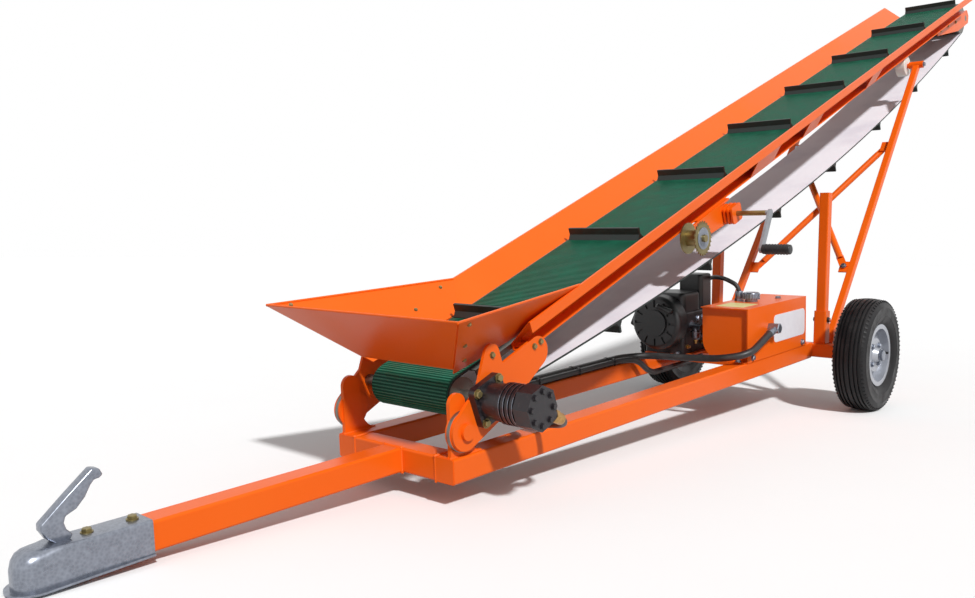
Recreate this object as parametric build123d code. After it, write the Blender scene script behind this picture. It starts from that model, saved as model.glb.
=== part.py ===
"""Firewood conveyor on a towed single-axle chassis.

X runs from the ball coupling to the discharge end, -Y is the left side when it is towed, +Z is up.
Each group is modelled in the frame that carries it: the chassis frame at the axle, the belt frame at
the tail drum, the strut frame at the strut hinge. Lengths are millimetres, angles degrees.
"""
import os
from math import acos, asin, atan2, cos, degrees, hypot, radians, sin, sqrt, tan

from build123d import *

# Wheels
tyre_diameter = 415
tyre_width = 120
tyre_wall = 11
tyre_crown = 6
rim_seat_diameter = 204
rim_flange_diameter = 228
rim_width = 92
rim_sheet = 4
rim_disc_offset = 14
rim_dish_depth = 16
rim_dish_outer = 78
rim_dish_inner = 62
bead_gap = 2
hub_diameter = 62
hub_length = 96
hub_nose = 21
stub_diameter = 25
running_clearance = 0.05
track = 806

# Chassis, in the chassis frame: axle centre at the origin, tubes centred on Z = 0
tube = 60
tube_wall = 4
tube_corner = 6
chassis_reach = 1990
chassis_width = 406
axle_beam_size = 50
axle_beam_inset = 83
axle_beam_wall = 5
stub_inside = 60
stub_collar = 12
end_plate = 8
axle_nut = 11
axle_nut_over = 8
weld_gap = 0.2

# Ball coupling on the drawbar's end
ball_diameter = 50.5
ball_reach = 2798
ball_ahead = 53
ball_seat_up = 4
coupling_sheet = 4
coupling_sleeve_length = 136
coupling_cup_radius = 37
coupling_neck = 16
coupling_nose = 8
coupling_taper = 60
coupling_fold = 8
coupling_dome_radius = 46
coupling_dome_rise = 12
drawbar_stop = 6
coupling_flange_radius = 52
coupling_flange_thickness = 6
coupling_depth = 38
coupling_top = 40
handle_width = 26
handle_sheet = 10
handle_corner = 2
# Columns: along from the ball, up from the coupling's top
handle_bends = ((-12, 10.2), (36, 10.2), (99, 102), (127, 84))

# Pivot at the front of the chassis
pivot_setback = 37
pivot_height = 87
pivot_pin_diameter = 24
pivot_boss_diameter = 92
pin_head = 8
pin_head_over = 14
post_offset = 187
post_thickness = 10
post_rise = 88
post_front = 34
post_back = 24
post_foot = 62
post_crown = 26
side_clearance = 0.5
tail_plate_offset = 206
tail_plate_thickness = 8
tail_hub = (20, -10)
tail_eye_radius = 44
tail_hub_radius = 60
# Columns: arm's end along and up from the drum's axis, its radius
tail_arms = ((56, 86, 26), (208, 16, 38))
stand_off_diameter = 14
stand_off_along = (200, 226)
stand_off_up = 34.5

# Belt, boards and drums, in the belt frame: tail drum axis at the origin, X along the belt
incline = 22.8
tail_from_pivot_along = 85
tail_from_pivot_up = 36
belt_width = 266
belt_thickness = 6
tail_drum_diameter = 88
head_drum_diameter = 148
drum_distance = 4250
return_arc_radius = 17500
shaft_diameter = 30
drum_wall = 5
cleat_count = 16
cleat_phase = 850
cleat_height = 36
cleat_clearance = 6
cleat_width = 256
cleat_foot = 15
cleat_stem = 4
cleat_root = 16
cleat_sole = 2
cleat_sink = 3
sheet = 3
board_start = 185
board_end = 4160
board_web_offset = 150
board_web_height = 20
board_flare_out = 74
board_flare_up = 64
lip_width = 6
lip_drop = 28
track_flange = 42
# Columns: start along, length of the plates that tie a board's lip to its roller track
board_ties = ((1455, 185), (1905, 130), (2580, 120))
bed_gap = 0.4
bed_edge = 14
bed_start = 48
head_arm_length = 420
head_arm_nose = 58
head_arm_depth = 68
head_arm_thickness = 6
head_arm_chamfer = 18
head_arm_corner = 6

# Feed hopper, in the belt frame
hopper_front_along = -129
hopper_front_up = 269
hopper_front_half = 334
hopper_rear_along = 404
hopper_mouth_along = -14
hopper_mouth_up = 68
hopper_mouth_half = 140

# Hydraulic motor and winch, on the left of the belt frame
motor_flange = 100
motor_body_diameter = 96
motor_length = 165
motor_flange_depth = 18
motor_flange_corner = 14
motor_ring_start = 70
motor_ring_pitch = 13
motor_ring_depth = 9
motor_rings = 4
motor_groove = 5
port_diameter = 28
port_root = 16
port_reach = 52
# How far from the motor's face its ports are
port_places = (44, 143)
winch_along = 980
winch_up = 0
winch_flange_diameter = 94
winch_core_diameter = 48
winch_drum_width = 52
winch_flange = 4
winch_nut_diameter = 22
winch_nut = 10
winch_plate = 6
winch_plate_out = 9
winch_foot = 170
cheek_length = 64
cheek_height = 56
cheek_corner = 10
cheek_places = (14, 27, 40)
cheek_bolt_diameter = 10
cheek_bolt_spread = 24
cheek_bolt_up = 18
crank_along = 1236
crank_up = -18
crank_shaft_diameter = 16
crank_reach = 150
crank_arm = 125
crank_arm_width = 24
crank_arm_thickness = 8
crank_turn = 222
spindle_diameter = 10
grip_diameter = 30
grip_length = 90
grip_corner = 4

# Lift struts, in the strut frame: hinge at the origin, X along the strut
strut_hinge_back = 97
strut_hinge_up = 30
strut_offset = 225
strut_size = 26
strut_wall = 3
strut_corner = 3
strut_foot = 22
strut_top_gap = 15
sleeve_diameter = 32
sleeve_past = 28
sleeve_gap = 8
strut_pin_diameter = 16
clevis_gap = 6
clevis_plate = 6
clevis_low = 22
clevis_shoulder = 18
clevis_reach = 60
clevis_rise = 20
pin_past = 5
roller_diameter = 90
roller_width = 42
roller_offset = 163
roller_along = 3157
roller_axle_diameter = 20
roller_gap = 0.3
roller_corner = 4
roller_washer = 4
roller_washer_over = 12
brace_diameter = 27
brace_wall = 2.5
brace_low_share = 0.227
brace_high_share = 0.674
brace_spread = 15
lug_length = 52
lug_width = 34
lug_thickness = 6
tab_thickness = 5
tab_length = 64
tab_past = 8
brace_inset = 44

# Masts, upright on the axle beam
mast_back = 20
mast_offset = 222
mast_size = 36
mast_socket_size = 46
mast_socket_height = 125
mast_top = 810
mast_wall = 3
mast_corner = 4
mast_socket_wall = 4
mast_foot_up = 12
mast_bolt_diameter = 10
mast_bolt_down = 34
mast_bolt_past = 9

# Power pack, in the chassis frame
tank_front = -566
tank_length = 480
tank_width = 176
tank_height = 186
tank_left = -206
tank_round = 70
tank_recess = 12
tank_foot = 20
tank_foot_inset = 4
tank_foot_sheet = 5
tank_sheet = 4
filler_along = 216
filler_side = 92
cap_diameter = 58
cap_height = 34
cap_neck = 9
cap_corner = 5
boss_along = -398
boss_up = 133
boss_reach = 34
boss_diameter = 30
boss_hose_in = 14
boss_hose_down = 4
engine_centre_back = -454
engine_centre_side = 130
base_length = 214
base_margin = 20
base_bar = 36
base_bar_depth = 14
block_length = 190
block_width = 164
block_height = 150
block_corner = 14
cylinder_side = 60
cylinder_up = 90
cylinder_tilt = 65
cylinder_length = 120
cylinder_width = 96
cylinder_height = 100
cylinder_corner = 10
fin_length = 132
fin_width = 102
fin_thickness = 3
fin_start = 30
fin_pitch = 10
fin_count = 5
recoil_diameter = 196
recoil_depth = 62
recoil_up = 116
recoil_corner = 18
recoil_boss_diameter = 94
recoil_boss = 8
slot_radius = 70
slot_length = 26
slot_width = 9
slot_depth = 5
slot_count = 12
pump_up = 86
pump_outlet = 87
pump_outlet_drop = 58
pump_outlet_diameter = 26
pump_bell_diameter = 104
pump_bell = 46
pump_case_diameter = 72
pump_case = 84
base_plate = 6
pressure_hose_diameter = 20
return_hose_diameter = 24
arch_hose_diameter = 16
hose_joint_back = 413
hose_lead = 189
hose_dive = 55
hose_dive_side = 100
hose_under = -14
hose_crossing = 137
pressure_hose_side = 156
return_hose_side = 184

# Derived places
pivot_reach = chassis_reach - pivot_setback
drawbar_reach = ball_reach - ball_ahead
axle_beam_length = track - 2 * axle_beam_inset
hose_joint = hose_joint_back - pivot_reach
wheel_radius = tyre_diameter / 2
nose_reach = ball_reach + coupling_flange_radius
lean = hypot(nose_reach, coupling_depth)
chassis_pitch = degrees(asin(wheel_radius / lean) - atan2(coupling_depth, nose_reach))
chassis = Pos(0, 0, wheel_radius) * Rot(0, -chassis_pitch, 0)
pivot = (chassis * Pos(-pivot_reach, 0, pivot_height)).position
belt_frame = (
    Pos(pivot) * Rot(0, -incline, 0) * Pos(tail_from_pivot_along, 0, tail_from_pivot_up)
)
rail_offset = (chassis_width - tube) / 2
tube_half = tube / 2
tail_radius = tail_drum_diameter / 2 + belt_thickness
head_radius = head_drum_diameter / 2 + belt_thickness
head_up = tail_radius - head_radius
bed_top = tail_drum_diameter / 2 - bed_gap
web_base = bed_top - board_web_height
rim_top = bed_top + board_flare_up
rim_half = board_web_offset + board_flare_out
strut_hinge = (chassis * Pos(strut_hinge_back, 0, strut_hinge_up)).position
roller_up = web_base - roller_gap - roller_diameter / 2
roller_centre = (belt_frame * Pos(roller_along, 0, roller_up)).position
strut_reach = roller_centre - strut_hinge
strut_length = strut_reach.length
strut_angle = degrees(atan2(strut_reach.Z, strut_reach.X))
strut_frame = Pos(strut_hinge) * Rot(0, -strut_angle, 0)
tail_plate_inner = tail_plate_offset - tail_plate_thickness / 2
tail_plate_outer = tail_plate_offset + tail_plate_thickness / 2
sides = (("left", -1), ("right", 1))
pieces = {}


def add(name, frame, shape):
    """Keep a piece, moved from the frame that it was modelled in."""
    pieces[name] = frame * shape


def plate(outline, y_low, y_high):
    """Plate from an outline in X and Z, between two Y values."""
    low, high = min(y_low, y_high), max(y_low, y_high)
    return extrude(Plane.XZ.offset(-high) * outline, high - low)


def box(x_low, x_high, y_low, y_high, z_low, z_high):
    """Box from its limits."""
    centre = Pos((x_low + x_high) / 2, (y_low + y_high) / 2, (z_low + z_high) / 2)
    return centre * Box(x_high - x_low, abs(y_high - y_low), z_high - z_low)


def rod(start, end, diameter, wall=0):
    """Round bar between two points, or a tube where a wall is given."""
    start, end = Vector(*start), Vector(*end)
    section = Circle(diameter / 2)
    if wall:
        section -= Circle(diameter / 2 - wall)
    return extrude(Plane(origin=start, z_dir=end - start) * section, (end - start).length)


def square_tube(size, wall, length, corner):
    """Square tube along +X from the origin."""
    section = RectangleRounded(size, size, corner)
    section -= RectangleRounded(size - 2 * wall, size - 2 * wall, max(corner - wall, 0.5))
    return extrude(Plane.YZ * section, length)


def link(start, start_radius, end, end_radius):
    """Outline round two circles and the straight edges that touch both."""
    away = Vector(*end) - Vector(*start)
    turn = acos((start_radius - end_radius) / away.length)
    way = atan2(away.Y, away.X)
    corners = []
    for centre, radius, first in ((start, start_radius, 1), (end, end_radius, -1)):
        for side in (first, -first):
            angle = way + side * turn
            corners.append((centre[0] + radius * cos(angle), centre[1] + radius * sin(angle)))
    ends = Pos(*start) * Circle(start_radius) + Pos(*end) * Circle(end_radius)
    return make_face(Polyline(*corners, close=True)) + ends


def folded(points, thickness):
    """Closed outline of a sheet folded along points, its thickness to the left of the line."""
    normals = []
    for (x0, y0), (x1, y1) in zip(points, points[1:]):
        length = hypot(x1 - x0, y1 - y0)
        normals.append(Vector(-(y1 - y0) / length, (x1 - x0) / length))
    inner = []
    for index, (x, y) in enumerate(points):
        before = normals[max(index - 1, 0)]
        after = normals[min(index, len(normals) - 1)]
        mitre = (before + after) * (thickness / (1 + before.dot(after)))
        inner.append((x + mitre.X, y + mitre.Y))
    return make_face(Polyline(*points, *reversed(inner), close=True))


def sheet_panel(points, thickness, towards):
    """Flat sheet with the given corners, its thickness on the side of a direction."""
    face = Face(Wire.make_polygon([Vector(*point) for point in points], close=True))
    normal = face.normal_at()
    if normal.dot(Vector(*towards)) < 0:
        normal = -normal
    return extrude(face, thickness, dir=normal)


def hose(points, diameter):
    """Hose with bends as large as its runs allow."""
    corners = [Vector(*point) for point in points]
    radii = []
    for a, b, c in zip(corners, corners[1:], corners[2:]):
        turn = (b - a).get_angle(c - b)
        shorter = min((b - a).length, (c - b).length)
        radii.append(0.45 * shorter / tan(radians(turn / 2)))
    path = FilletPolyline(*corners, radius=radii)
    return sweep(Plane(origin=path @ 0, z_dir=path % 0) * Circle(diameter / 2), path)


# Wheels: a tubeless tyre on a pressed rim, turning on the stub axle
def tyre_section(inset):
    """Outline of the tyre's section in Y and radius, inset by a wall."""
    half = tyre_width / 2 - inset
    bead = rim_seat_diameter / 2
    lip = rim_flange_diameter / 2 + bead_gap
    foot = rim_width / 2 - rim_sheet - 2 * weld_gap - inset
    shoulder = (tyre_width * 0.40 - inset * 0.6, wheel_radius - tyre_crown - inset)
    widest = (half, lip + (wheel_radius - lip) * 0.46)
    crown = ThreePointArc((-shoulder[0], shoulder[1]), (0, wheel_radius - inset), shoulder)
    right = ThreePointArc(shoulder, widest, (foot, lip))
    base = Polyline((foot, lip), (foot, bead), (-foot, bead), (-foot, lip))
    left = ThreePointArc((-foot, lip), (-widest[0], widest[1]), (-shoulder[0], shoulder[1]))
    return make_face([*crown.edges(), *right.edges(), *base.edges(), *left.edges()])


def tyre():
    section = tyre_section(0) - tyre_section(tyre_wall)
    return revolve(Plane.YZ * section, Axis.Y)


def rim(outward):
    """Barrel with two flanges, a dished disc and the hub."""
    seat = rim_seat_diameter / 2 - weld_gap
    half = rim_width / 2
    barrel = Rectangle(rim_width, rim_sheet, align=(Align.CENTER, Align.MAX)).moved(Pos(0, seat))
    for place in (half - rim_sheet / 2, rim_sheet / 2 - half):
        flange = Rectangle(rim_sheet, rim_flange_diameter / 2 - seat + rim_sheet, align=(Align.CENTER, Align.MIN))
        barrel += flange.moved(Pos(place, seat - rim_sheet))
    bore = stub_diameter / 2 + running_clearance
    disc = rim_disc_offset + rim_dish_depth
    dish = folded([
        (rim_disc_offset, seat - rim_sheet / 2), (rim_disc_offset, rim_dish_outer), (disc, rim_dish_inner),
        (disc, hub_diameter / 2 - rim_sheet)], -rim_sheet)
    hub = make_face(Polyline(
        (-hub_length / 2, bore), (hub_length / 2, bore), (hub_length / 2, hub_nose), (disc, hub_diameter / 2),
        (-hub_length / 2, hub_diameter / 2), close=True))
    shape = revolve(Plane.YZ * barrel, Axis.Y) + revolve(Plane.YZ * dish, Axis.Y) + revolve(Plane.YZ * hub, Axis.Y)
    return shape if outward > 0 else mirror(shape, about=Plane.XZ)


for side, sign in sides:
    place = Pos(0, sign * track / 2, wheel_radius)
    add(f"tyre_{side}", place, tyre())
    add(f"rim_{side}", place, rim(sign))


# Chassis frame: two rails, a cross member between them, the drawbar and the axle beam
def axle_beam():
    """Square beam with closed ends and a stub axle with its nut in each."""
    half = axle_beam_size / 2
    beam = square_tube(axle_beam_size, axle_beam_wall, axle_beam_length, axle_beam_wall)
    beam = Pos(0, -axle_beam_length / 2, 0) * Rot(0, 0, 90) * beam
    nut_start = track / 2 + hub_length / 2 + 2 * side_clearance
    for sign in (-1, 1):
        plate_start = sign * (axle_beam_length / 2 - end_plate)
        shoulder = sign * (track / 2 - hub_length / 2 - 2 * side_clearance)
        stub_start = sign * (axle_beam_length / 2 - stub_inside)
        beam += rod((0, stub_start, 0), (0, sign * nut_start, 0), stub_diameter)
        beam += rod((0, plate_start, 0), (0, shoulder, 0), stub_diameter + stub_collar)
        beam += box(-half, half, *sorted((plate_start, sign * axle_beam_length / 2)), -half, half)
        beam += rod((0, sign * nut_start, 0), (0, sign * (nut_start + axle_nut), 0), stub_diameter + axle_nut_over)
    return beam


rail_length = chassis_reach - axle_beam_size / 2 - weld_gap
cross_length = chassis_width - 2 * tube - 2 * weld_gap
for side, sign in sides:
    rail = square_tube(tube, tube_wall, rail_length, tube_corner)
    add(f"side_rail_{side}", chassis, Pos(-chassis_reach, sign * rail_offset, 0) * rail)
cross = Rot(0, 0, 90) * square_tube(tube, tube_wall, cross_length, tube_corner)
add("front_cross_member", chassis, Pos(-chassis_reach + tube_half, -cross_length / 2, 0) * cross)
bar = square_tube(tube, tube_wall, drawbar_reach - chassis_reach - weld_gap, tube_corner)
add("drawbar", chassis, Pos(-drawbar_reach, 0, 0) * bar)
add("axle_beam", chassis, axle_beam())


# Ball coupling: pressed cup over the ball, and a sleeve open below over the drawbar's end
def coupling_body():
    x = -ball_reach
    sleeve_end = x + coupling_cup_radius + coupling_neck + coupling_sleeve_length
    outer = tube_half + coupling_sheet
    inner = tube_half + weld_gap
    upright = (Align.CENTER, Align.CENTER, Align.MIN)
    floor = Pos(x, 0, -coupling_depth)
    neck = make_face(Polyline(
        (sleeve_end, -inner), (sleeve_end, outer), (x - coupling_nose, coupling_top - coupling_fold),
        (x - coupling_nose, -coupling_depth), (x + coupling_taper, -coupling_depth), close=True))
    body = plate(neck, -outer, outer)
    body = fillet(body.edges().filter_by(Axis.X, tolerance=6).sort_by(Axis.Z)[-2:], coupling_fold)
    cup_height = coupling_top + coupling_depth - coupling_dome_rise
    body += floor * Cylinder(coupling_cup_radius, cup_height, align=upright)
    dome = Pos(x, 0, coupling_top - coupling_dome_radius) * Sphere(coupling_dome_radius)
    body += dome & Pos(x, 0, 0) * Cylinder(coupling_cup_radius, 2 * coupling_top, align=upright)
    body += floor * Cylinder(coupling_flange_radius, coupling_flange_thickness, align=upright)
    body -= floor * Cylinder(ball_diameter / 2, coupling_depth + ball_seat_up, align=upright)
    body -= Pos(x, 0, ball_seat_up) * Sphere(ball_diameter / 2)
    return body - box(-drawbar_reach - drawbar_stop, sleeve_end + tube, -inner, inner, -tube, inner)


def coupling_handle():
    """Flat lever, bent up and back over the coupling."""
    line = [(along - ball_reach, coupling_top + up) for along, up in handle_bends]
    lever = plate(folded(line, -handle_sheet), -handle_width / 2, handle_width / 2)
    return fillet(lever.edges().filter_by(Axis.Y), handle_corner)


add("coupling_body", chassis, coupling_body())
add("coupling_handle", chassis, coupling_handle())


# Pivot posts: curved plates welded on the rails' front ends, each with its pin
def pivot_post(sign):
    x = -pivot_reach
    low = tube_half + weld_gap
    top = pivot_height + post_rise
    shoulder = top - post_crown
    foot_bend = (x + post_back + 0.2 * (post_foot - post_back), low + 0.4 * (pivot_height - low))
    front = Polyline((x + post_foot, low), (x - post_front, low), (x - post_front, shoulder))
    crown = ThreePointArc((x - post_front, shoulder), (x - post_front / 4, top), (x + post_front / 2, shoulder))
    back = Line((x + post_front / 2, shoulder), (x + post_back, pivot_height))
    foot = ThreePointArc((x + post_back, pivot_height), foot_bend, (x + post_foot, low))
    outline = make_face([*front.edges(), *crown.edges(), *back.edges(), *foot.edges()])
    post = plate(outline, sign * (post_offset - post_thickness / 2), sign * (post_offset + post_thickness / 2))
    boss_end = tail_plate_inner - side_clearance
    head = tail_plate_outer + side_clearance
    # Columns: end of the step, its diameter
    for start, end, diameter in (
            (post_offset, boss_end, pivot_boss_diameter), (post_offset, head + pin_head, pivot_pin_diameter),
            (head, head + pin_head, pivot_pin_diameter + pin_head_over)):
        post += rod((x, sign * start, pivot_height), (x, sign * end, pivot_height), diameter)
    return post


for side, sign in sides:
    add(f"pivot_post_{side}", chassis, pivot_post(sign))


# Masts: square posts in sockets on the axle beam, upright as it stands
def mast_socket(sign):
    """Socket cut to the tilt of the beam's top."""
    height = mast_socket_height + axle_beam_size / 2
    body = square_tube(mast_socket_size, mast_socket_wall, height, mast_socket_wall + 1)
    body = Pos(mast_back, sign * mast_offset, wheel_radius) * Rot(0, -90, 0) * body
    reach = mast_back + mast_socket_size
    return body - chassis * box(-reach, reach, -track, track, -reach, axle_beam_size / 2 + weld_gap)


for side, sign in sides:
    socket_top = wheel_radius + mast_socket_height + axle_beam_size / 2
    mast_foot = socket_top - mast_socket_height + mast_foot_up
    post = Rot(0, -90, 0) * square_tube(mast_size, mast_wall, mast_top - mast_foot, mast_corner)
    bolt_up = socket_top - mast_bolt_down
    bolt_end = mast_socket_size / 2 + mast_bolt_past
    post += rod((0, -bolt_end, bolt_up - mast_foot), (0, bolt_end, bolt_up - mast_foot), mast_bolt_diameter)
    socket = mast_socket(sign)
    bolt_hole = Rot(90, 0, 0) * Cylinder(mast_bolt_diameter / 2 + weld_gap, 2 * bolt_end)
    socket -= Pos(mast_back, sign * mast_offset, bolt_up) * bolt_hole
    add(f"mast_socket_{side}", Pos(0, 0, 0), socket)
    add(f"mast_{side}", Pos(mast_back, sign * mast_offset, mast_foot), post)


# Belt: carrying run straight, return run hanging in one long arc between the drums
def return_arc_centre():
    """Centre of the return run's arc, which touches both drums from below."""
    tail_gap = return_arc_radius - tail_radius
    head_gap = return_arc_radius - head_radius
    span = hypot(drum_distance, head_up)
    along = (span**2 + tail_gap**2 - head_gap**2) / (2 * span)
    away = sqrt(tail_gap**2 - along**2)
    turn = atan2(head_up, drum_distance)
    return Vector(along * cos(turn) - away * sin(turn), along * sin(turn) + away * cos(turn))


def belt_loop(inset):
    """Loop round both drums, inset from the belt's outer face."""
    centre = return_arc_centre()
    tail, head = Vector(0, 0), Vector(drum_distance, head_up)
    top = tail_radius - inset
    tail_leave = centre + (tail - centre).normalized() * (return_arc_radius - inset)
    head_leave = centre + (head - centre).normalized() * (return_arc_radius - inset)
    middle = (tail_leave + head_leave) / 2 - centre
    lowest = centre + middle.normalized() * (return_arc_radius - inset)
    return Wire([
        *Line((0, top), (drum_distance, top)).edges(),
        *ThreePointArc((drum_distance, top), (drum_distance + head_radius - inset, head_up), head_leave).edges(),
        *ThreePointArc(head_leave, lowest, tail_leave).edges(),
        *ThreePointArc(tail_leave, (-tail_radius + inset, 0), (0, top)).edges(),
    ])


def belt():
    outer = belt_loop(0)
    band = plate(make_face(outer) - make_face(belt_loop(belt_thickness)), -belt_width / 2, belt_width / 2)
    pitch = outer.length / cleat_count
    right = [
        (cleat_foot, -cleat_sink), (cleat_foot, cleat_sole), (cleat_stem, cleat_root), (cleat_stem, cleat_height)]
    left = [(-along, up) for along, up in reversed(right)]
    section = make_face(Polyline(*right, *left, close=True))
    cleats = []
    for index in range(cleat_count):
        along = (cleat_phase + index * pitch) % outer.length
        spot = outer.position_at(along, position_mode=PositionMode.LENGTH)
        way = outer.tangent_at(along, position_mode=PositionMode.LENGTH)
        turn = degrees(atan2(way.Y, way.X))
        outline = Pos(spot.X, spot.Y) * Rot(0, 0, turn) * section
        cleats.append(plate(outline, -cleat_width / 2, cleat_width / 2))
    return band + cleats


def drum(diameter, length, shaft_length):
    """Drum of tube with end discs on a through shaft."""
    outer = diameter / 2 - weld_gap
    body = Cylinder(outer, length) - Cylinder(outer - drum_wall, length - 2 * drum_wall)
    return Rot(90, 0, 0) * (body + Cylinder(shaft_diameter / 2, shaft_length))


add("belt", belt_frame, belt())
add("tail_drum", belt_frame, drum(tail_drum_diameter, belt_width, 2 * tail_plate_outer))


# Trough: slide bed under the carrying run, and folded side boards with a lip and a roller track
def side_board(sign):
    web = board_web_offset
    lip = rim_half + lip_width
    line = [
        (web + track_flange, web_base), (web, web_base), (web, bed_top), (rim_half, rim_top),
        (lip, rim_top), (lip, rim_top - lip_drop),
    ]
    section = folded([(sign * y, z) for y, z in line], -sign * sheet)
    board = extrude(Plane.YZ.offset(board_start) * section, board_end - board_start)
    tie_line = [(web + track_flange, web_base + weld_gap), (lip, rim_top - lip_drop + weld_gap)]
    tie = folded([(sign * y, z) for y, z in tie_line], sign * sheet)
    for start, length in board_ties:
        board += extrude(Plane.YZ.offset(start) * tie, length)
    return board


def slide_bed():
    half = board_web_offset - bed_gap
    line = [(-half, bed_top - bed_edge), (-half, bed_top), (half, bed_top), (half, bed_top - bed_edge)]
    return extrude(Plane.YZ.offset(bed_start) * folded(line, -sheet), board_end - bed_start)


add("slide_bed", belt_frame, slide_bed())
for side, sign in sides:
    add(f"side_board_{side}", belt_frame, side_board(sign))


# Tail plates: cut plates on the pivot pins, carrying the tail drum and the hopper
def tail_plate(sign):
    pin = (-tail_from_pivot_along, -tail_from_pivot_up)
    outline = link(pin, tail_eye_radius, tail_hub, tail_hub_radius)
    for along, up, radius in tail_arms:
        outline += link(tail_hub, tail_hub_radius, (along, up), radius)
    outline -= Pos(*pin) * Circle(pivot_pin_diameter / 2 + running_clearance)
    outline -= Circle(shaft_diameter / 2 + weld_gap)
    body = plate(outline, sign * tail_plate_inner, sign * tail_plate_outer)
    board_face = sign * (board_web_offset + sheet + weld_gap)
    for along in stand_off_along:
        stand_off = ((along, sign * tail_plate_inner, stand_off_up), (along, board_face, stand_off_up))
        body += rod(*stand_off, stand_off_diameter)
    return body


for side, sign in sides:
    add(f"tail_plate_{side}", belt_frame, tail_plate(sign))


# Head arms: take-up plates under the roller tracks, carrying the head drum past the boards' ends
head_arm_inner = board_web_offset + sheet + weld_gap
head_arm_outer = head_arm_inner + head_arm_thickness


def head_arm(sign):
    top = web_base - weld_gap
    back = board_end - head_arm_length
    nose = drum_distance + head_arm_nose
    half = head_arm_depth / 2
    outline = make_face(Polyline(
        (back, top), (back, top - half), (board_end - 2 * half, head_up - half),
        (nose - head_arm_chamfer, head_up - half), (nose, head_up), (nose - head_arm_chamfer, head_up + half),
        (board_end + head_arm_chamfer, top), close=True))
    outline = fillet(outline.vertices(), head_arm_corner)
    outline -= Pos(drum_distance, head_up) * Circle(shaft_diameter / 2 + weld_gap)
    return plate(outline, sign * head_arm_inner, sign * head_arm_outer)


head_drum = drum(head_drum_diameter, belt_width, 2 * head_arm_outer)
add("head_drum", belt_frame, Pos(drum_distance, 0, head_up) * head_drum)
for side, sign in sides:
    add(f"head_arm_{side}", belt_frame, head_arm(sign))


# Feed hopper: a front panel and two wings of flat sheet over the tail of the belt
def hopper_wing(sign):
    mouth = Vector(hopper_mouth_along, sign * hopper_mouth_half, hopper_mouth_up)
    rear = Vector(hopper_rear_along, sign * rim_half, rim_top)
    front = Vector(hopper_front_along, sign * hopper_front_half, hopper_front_up)
    across = (rear - mouth).cross(front - mouth)
    fold = Vector(0, sign * board_web_offset, bed_top) - mouth
    fold_along = -(across.Y * fold.Y + across.Z * fold.Z) / across.X + mouth.X
    foot = Vector(fold_along, sign * board_web_offset, bed_top)
    wing = sheet_panel([tuple(mouth), tuple(foot), tuple(rear), tuple(front)], sheet, (0, sign, -1))
    return wing - side_board(sign)


def hopper_front():
    """Panel between the wings, its lower edge raised along their seams until the cleats pass below."""
    mouth = Vector(hopper_mouth_along, hopper_mouth_half, hopper_mouth_up)
    rim = Vector(hopper_front_along, hopper_front_half, hopper_front_up)
    seam = rim - mouth
    clear = tail_radius + cleat_height + cleat_clearance
    square = seam.X**2 + seam.Z**2
    half = mouth.X * seam.X + mouth.Z * seam.Z
    rest = mouth.X**2 + mouth.Z**2 - clear**2
    low = mouth + seam * ((sqrt(half**2 - square * rest) - half) / square)
    corners = [(low.X, low.Y, low.Z), (rim.X, rim.Y, rim.Z), (rim.X, -rim.Y, rim.Z), (low.X, -low.Y, low.Z)]
    return sheet_panel(corners, sheet, (-1, 0, -1))


add("hopper_front", belt_frame, hopper_front())
for side, sign in sides:
    add(f"hopper_wing_{side}", belt_frame, hopper_wing(sign))


# Hydraulic motor on the left tail plate, in line with the tail drum
motor_face = tail_plate_outer + weld_gap


def motor_disc(start, end, outline):
    """Slice of the motor between two distances from its face."""
    return plate(outline, -motor_face - start, -motor_face - end)


def hydraulic_motor():
    radius = motor_body_diameter / 2
    body = motor_disc(0, motor_flange_depth, RectangleRounded(motor_flange, motor_flange, motor_flange_corner))
    body += motor_disc(motor_flange_depth - 1, motor_length - 1, Circle(radius - motor_groove))
    for index in range(motor_rings):
        start = motor_ring_start + index * motor_ring_pitch
        body += motor_disc(start, start + motor_ring_depth, Circle(radius))
    cap_start = motor_ring_start + motor_rings * motor_ring_pitch
    body += motor_disc(cap_start, motor_length, RegularPolygon(radius, 8, major_radius=False, rotation=22.5))
    for place in port_places:
        side = -motor_face - place
        body += rod((port_root, side, -port_root), (port_reach, side, -port_reach), port_diameter)
    return body


add("hydraulic_motor", belt_frame, hydraulic_motor())


# Hand winch under the left lip: frame plate, cable drum and crank
winch_plate_side = -(board_web_offset + track_flange + winch_plate_out)
winch_face = winch_plate_side - winch_plate / 2
crank_end = winch_plate_side - crank_reach
spindle_along = crank_along + crank_arm * cos(radians(crank_turn))
spindle_up = crank_up + crank_arm * sin(radians(crank_turn))


def winch_frame():
    """Plate from the drum to the crank, a foot under the roller track and the crank's cheeks."""
    half = cheek_length / 2
    outline = link((winch_along, winch_up), winch_core_diameter / 2 + winch_plate, (crank_along, crank_up), half)
    body = plate(outline, winch_face, winch_face + winch_plate)
    foot_top = web_base - weld_gap
    body -= box(winch_along - winch_foot, crank_along + winch_foot, winch_plate_side - crank_reach,
                winch_plate_side + crank_reach, foot_top, rim_top)
    body += box(crank_along - winch_foot, crank_along + half, winch_face, -board_web_offset - winch_plate,
                foot_top - winch_plate, foot_top)
    cheek = Pos(crank_along, crank_up) * RectangleRounded(cheek_length, cheek_height, cheek_corner)
    for place in cheek_places:
        body += plate(cheek, winch_plate_side - place, winch_plate_side - place + winch_plate)
    for along in (-cheek_bolt_spread, cheek_bolt_spread):
        start = (crank_along + along, winch_plate_side, crank_up + cheek_bolt_up)
        body += rod(start, (start[0], winch_plate_side - cheek_places[-1], start[2]), cheek_bolt_diameter)
    bore = Pos(crank_along, crank_up) * Circle(crank_shaft_diameter / 2 + weld_gap)
    return body - plate(bore, winch_plate_side - crank_reach, winch_plate_side + crank_reach)


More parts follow.
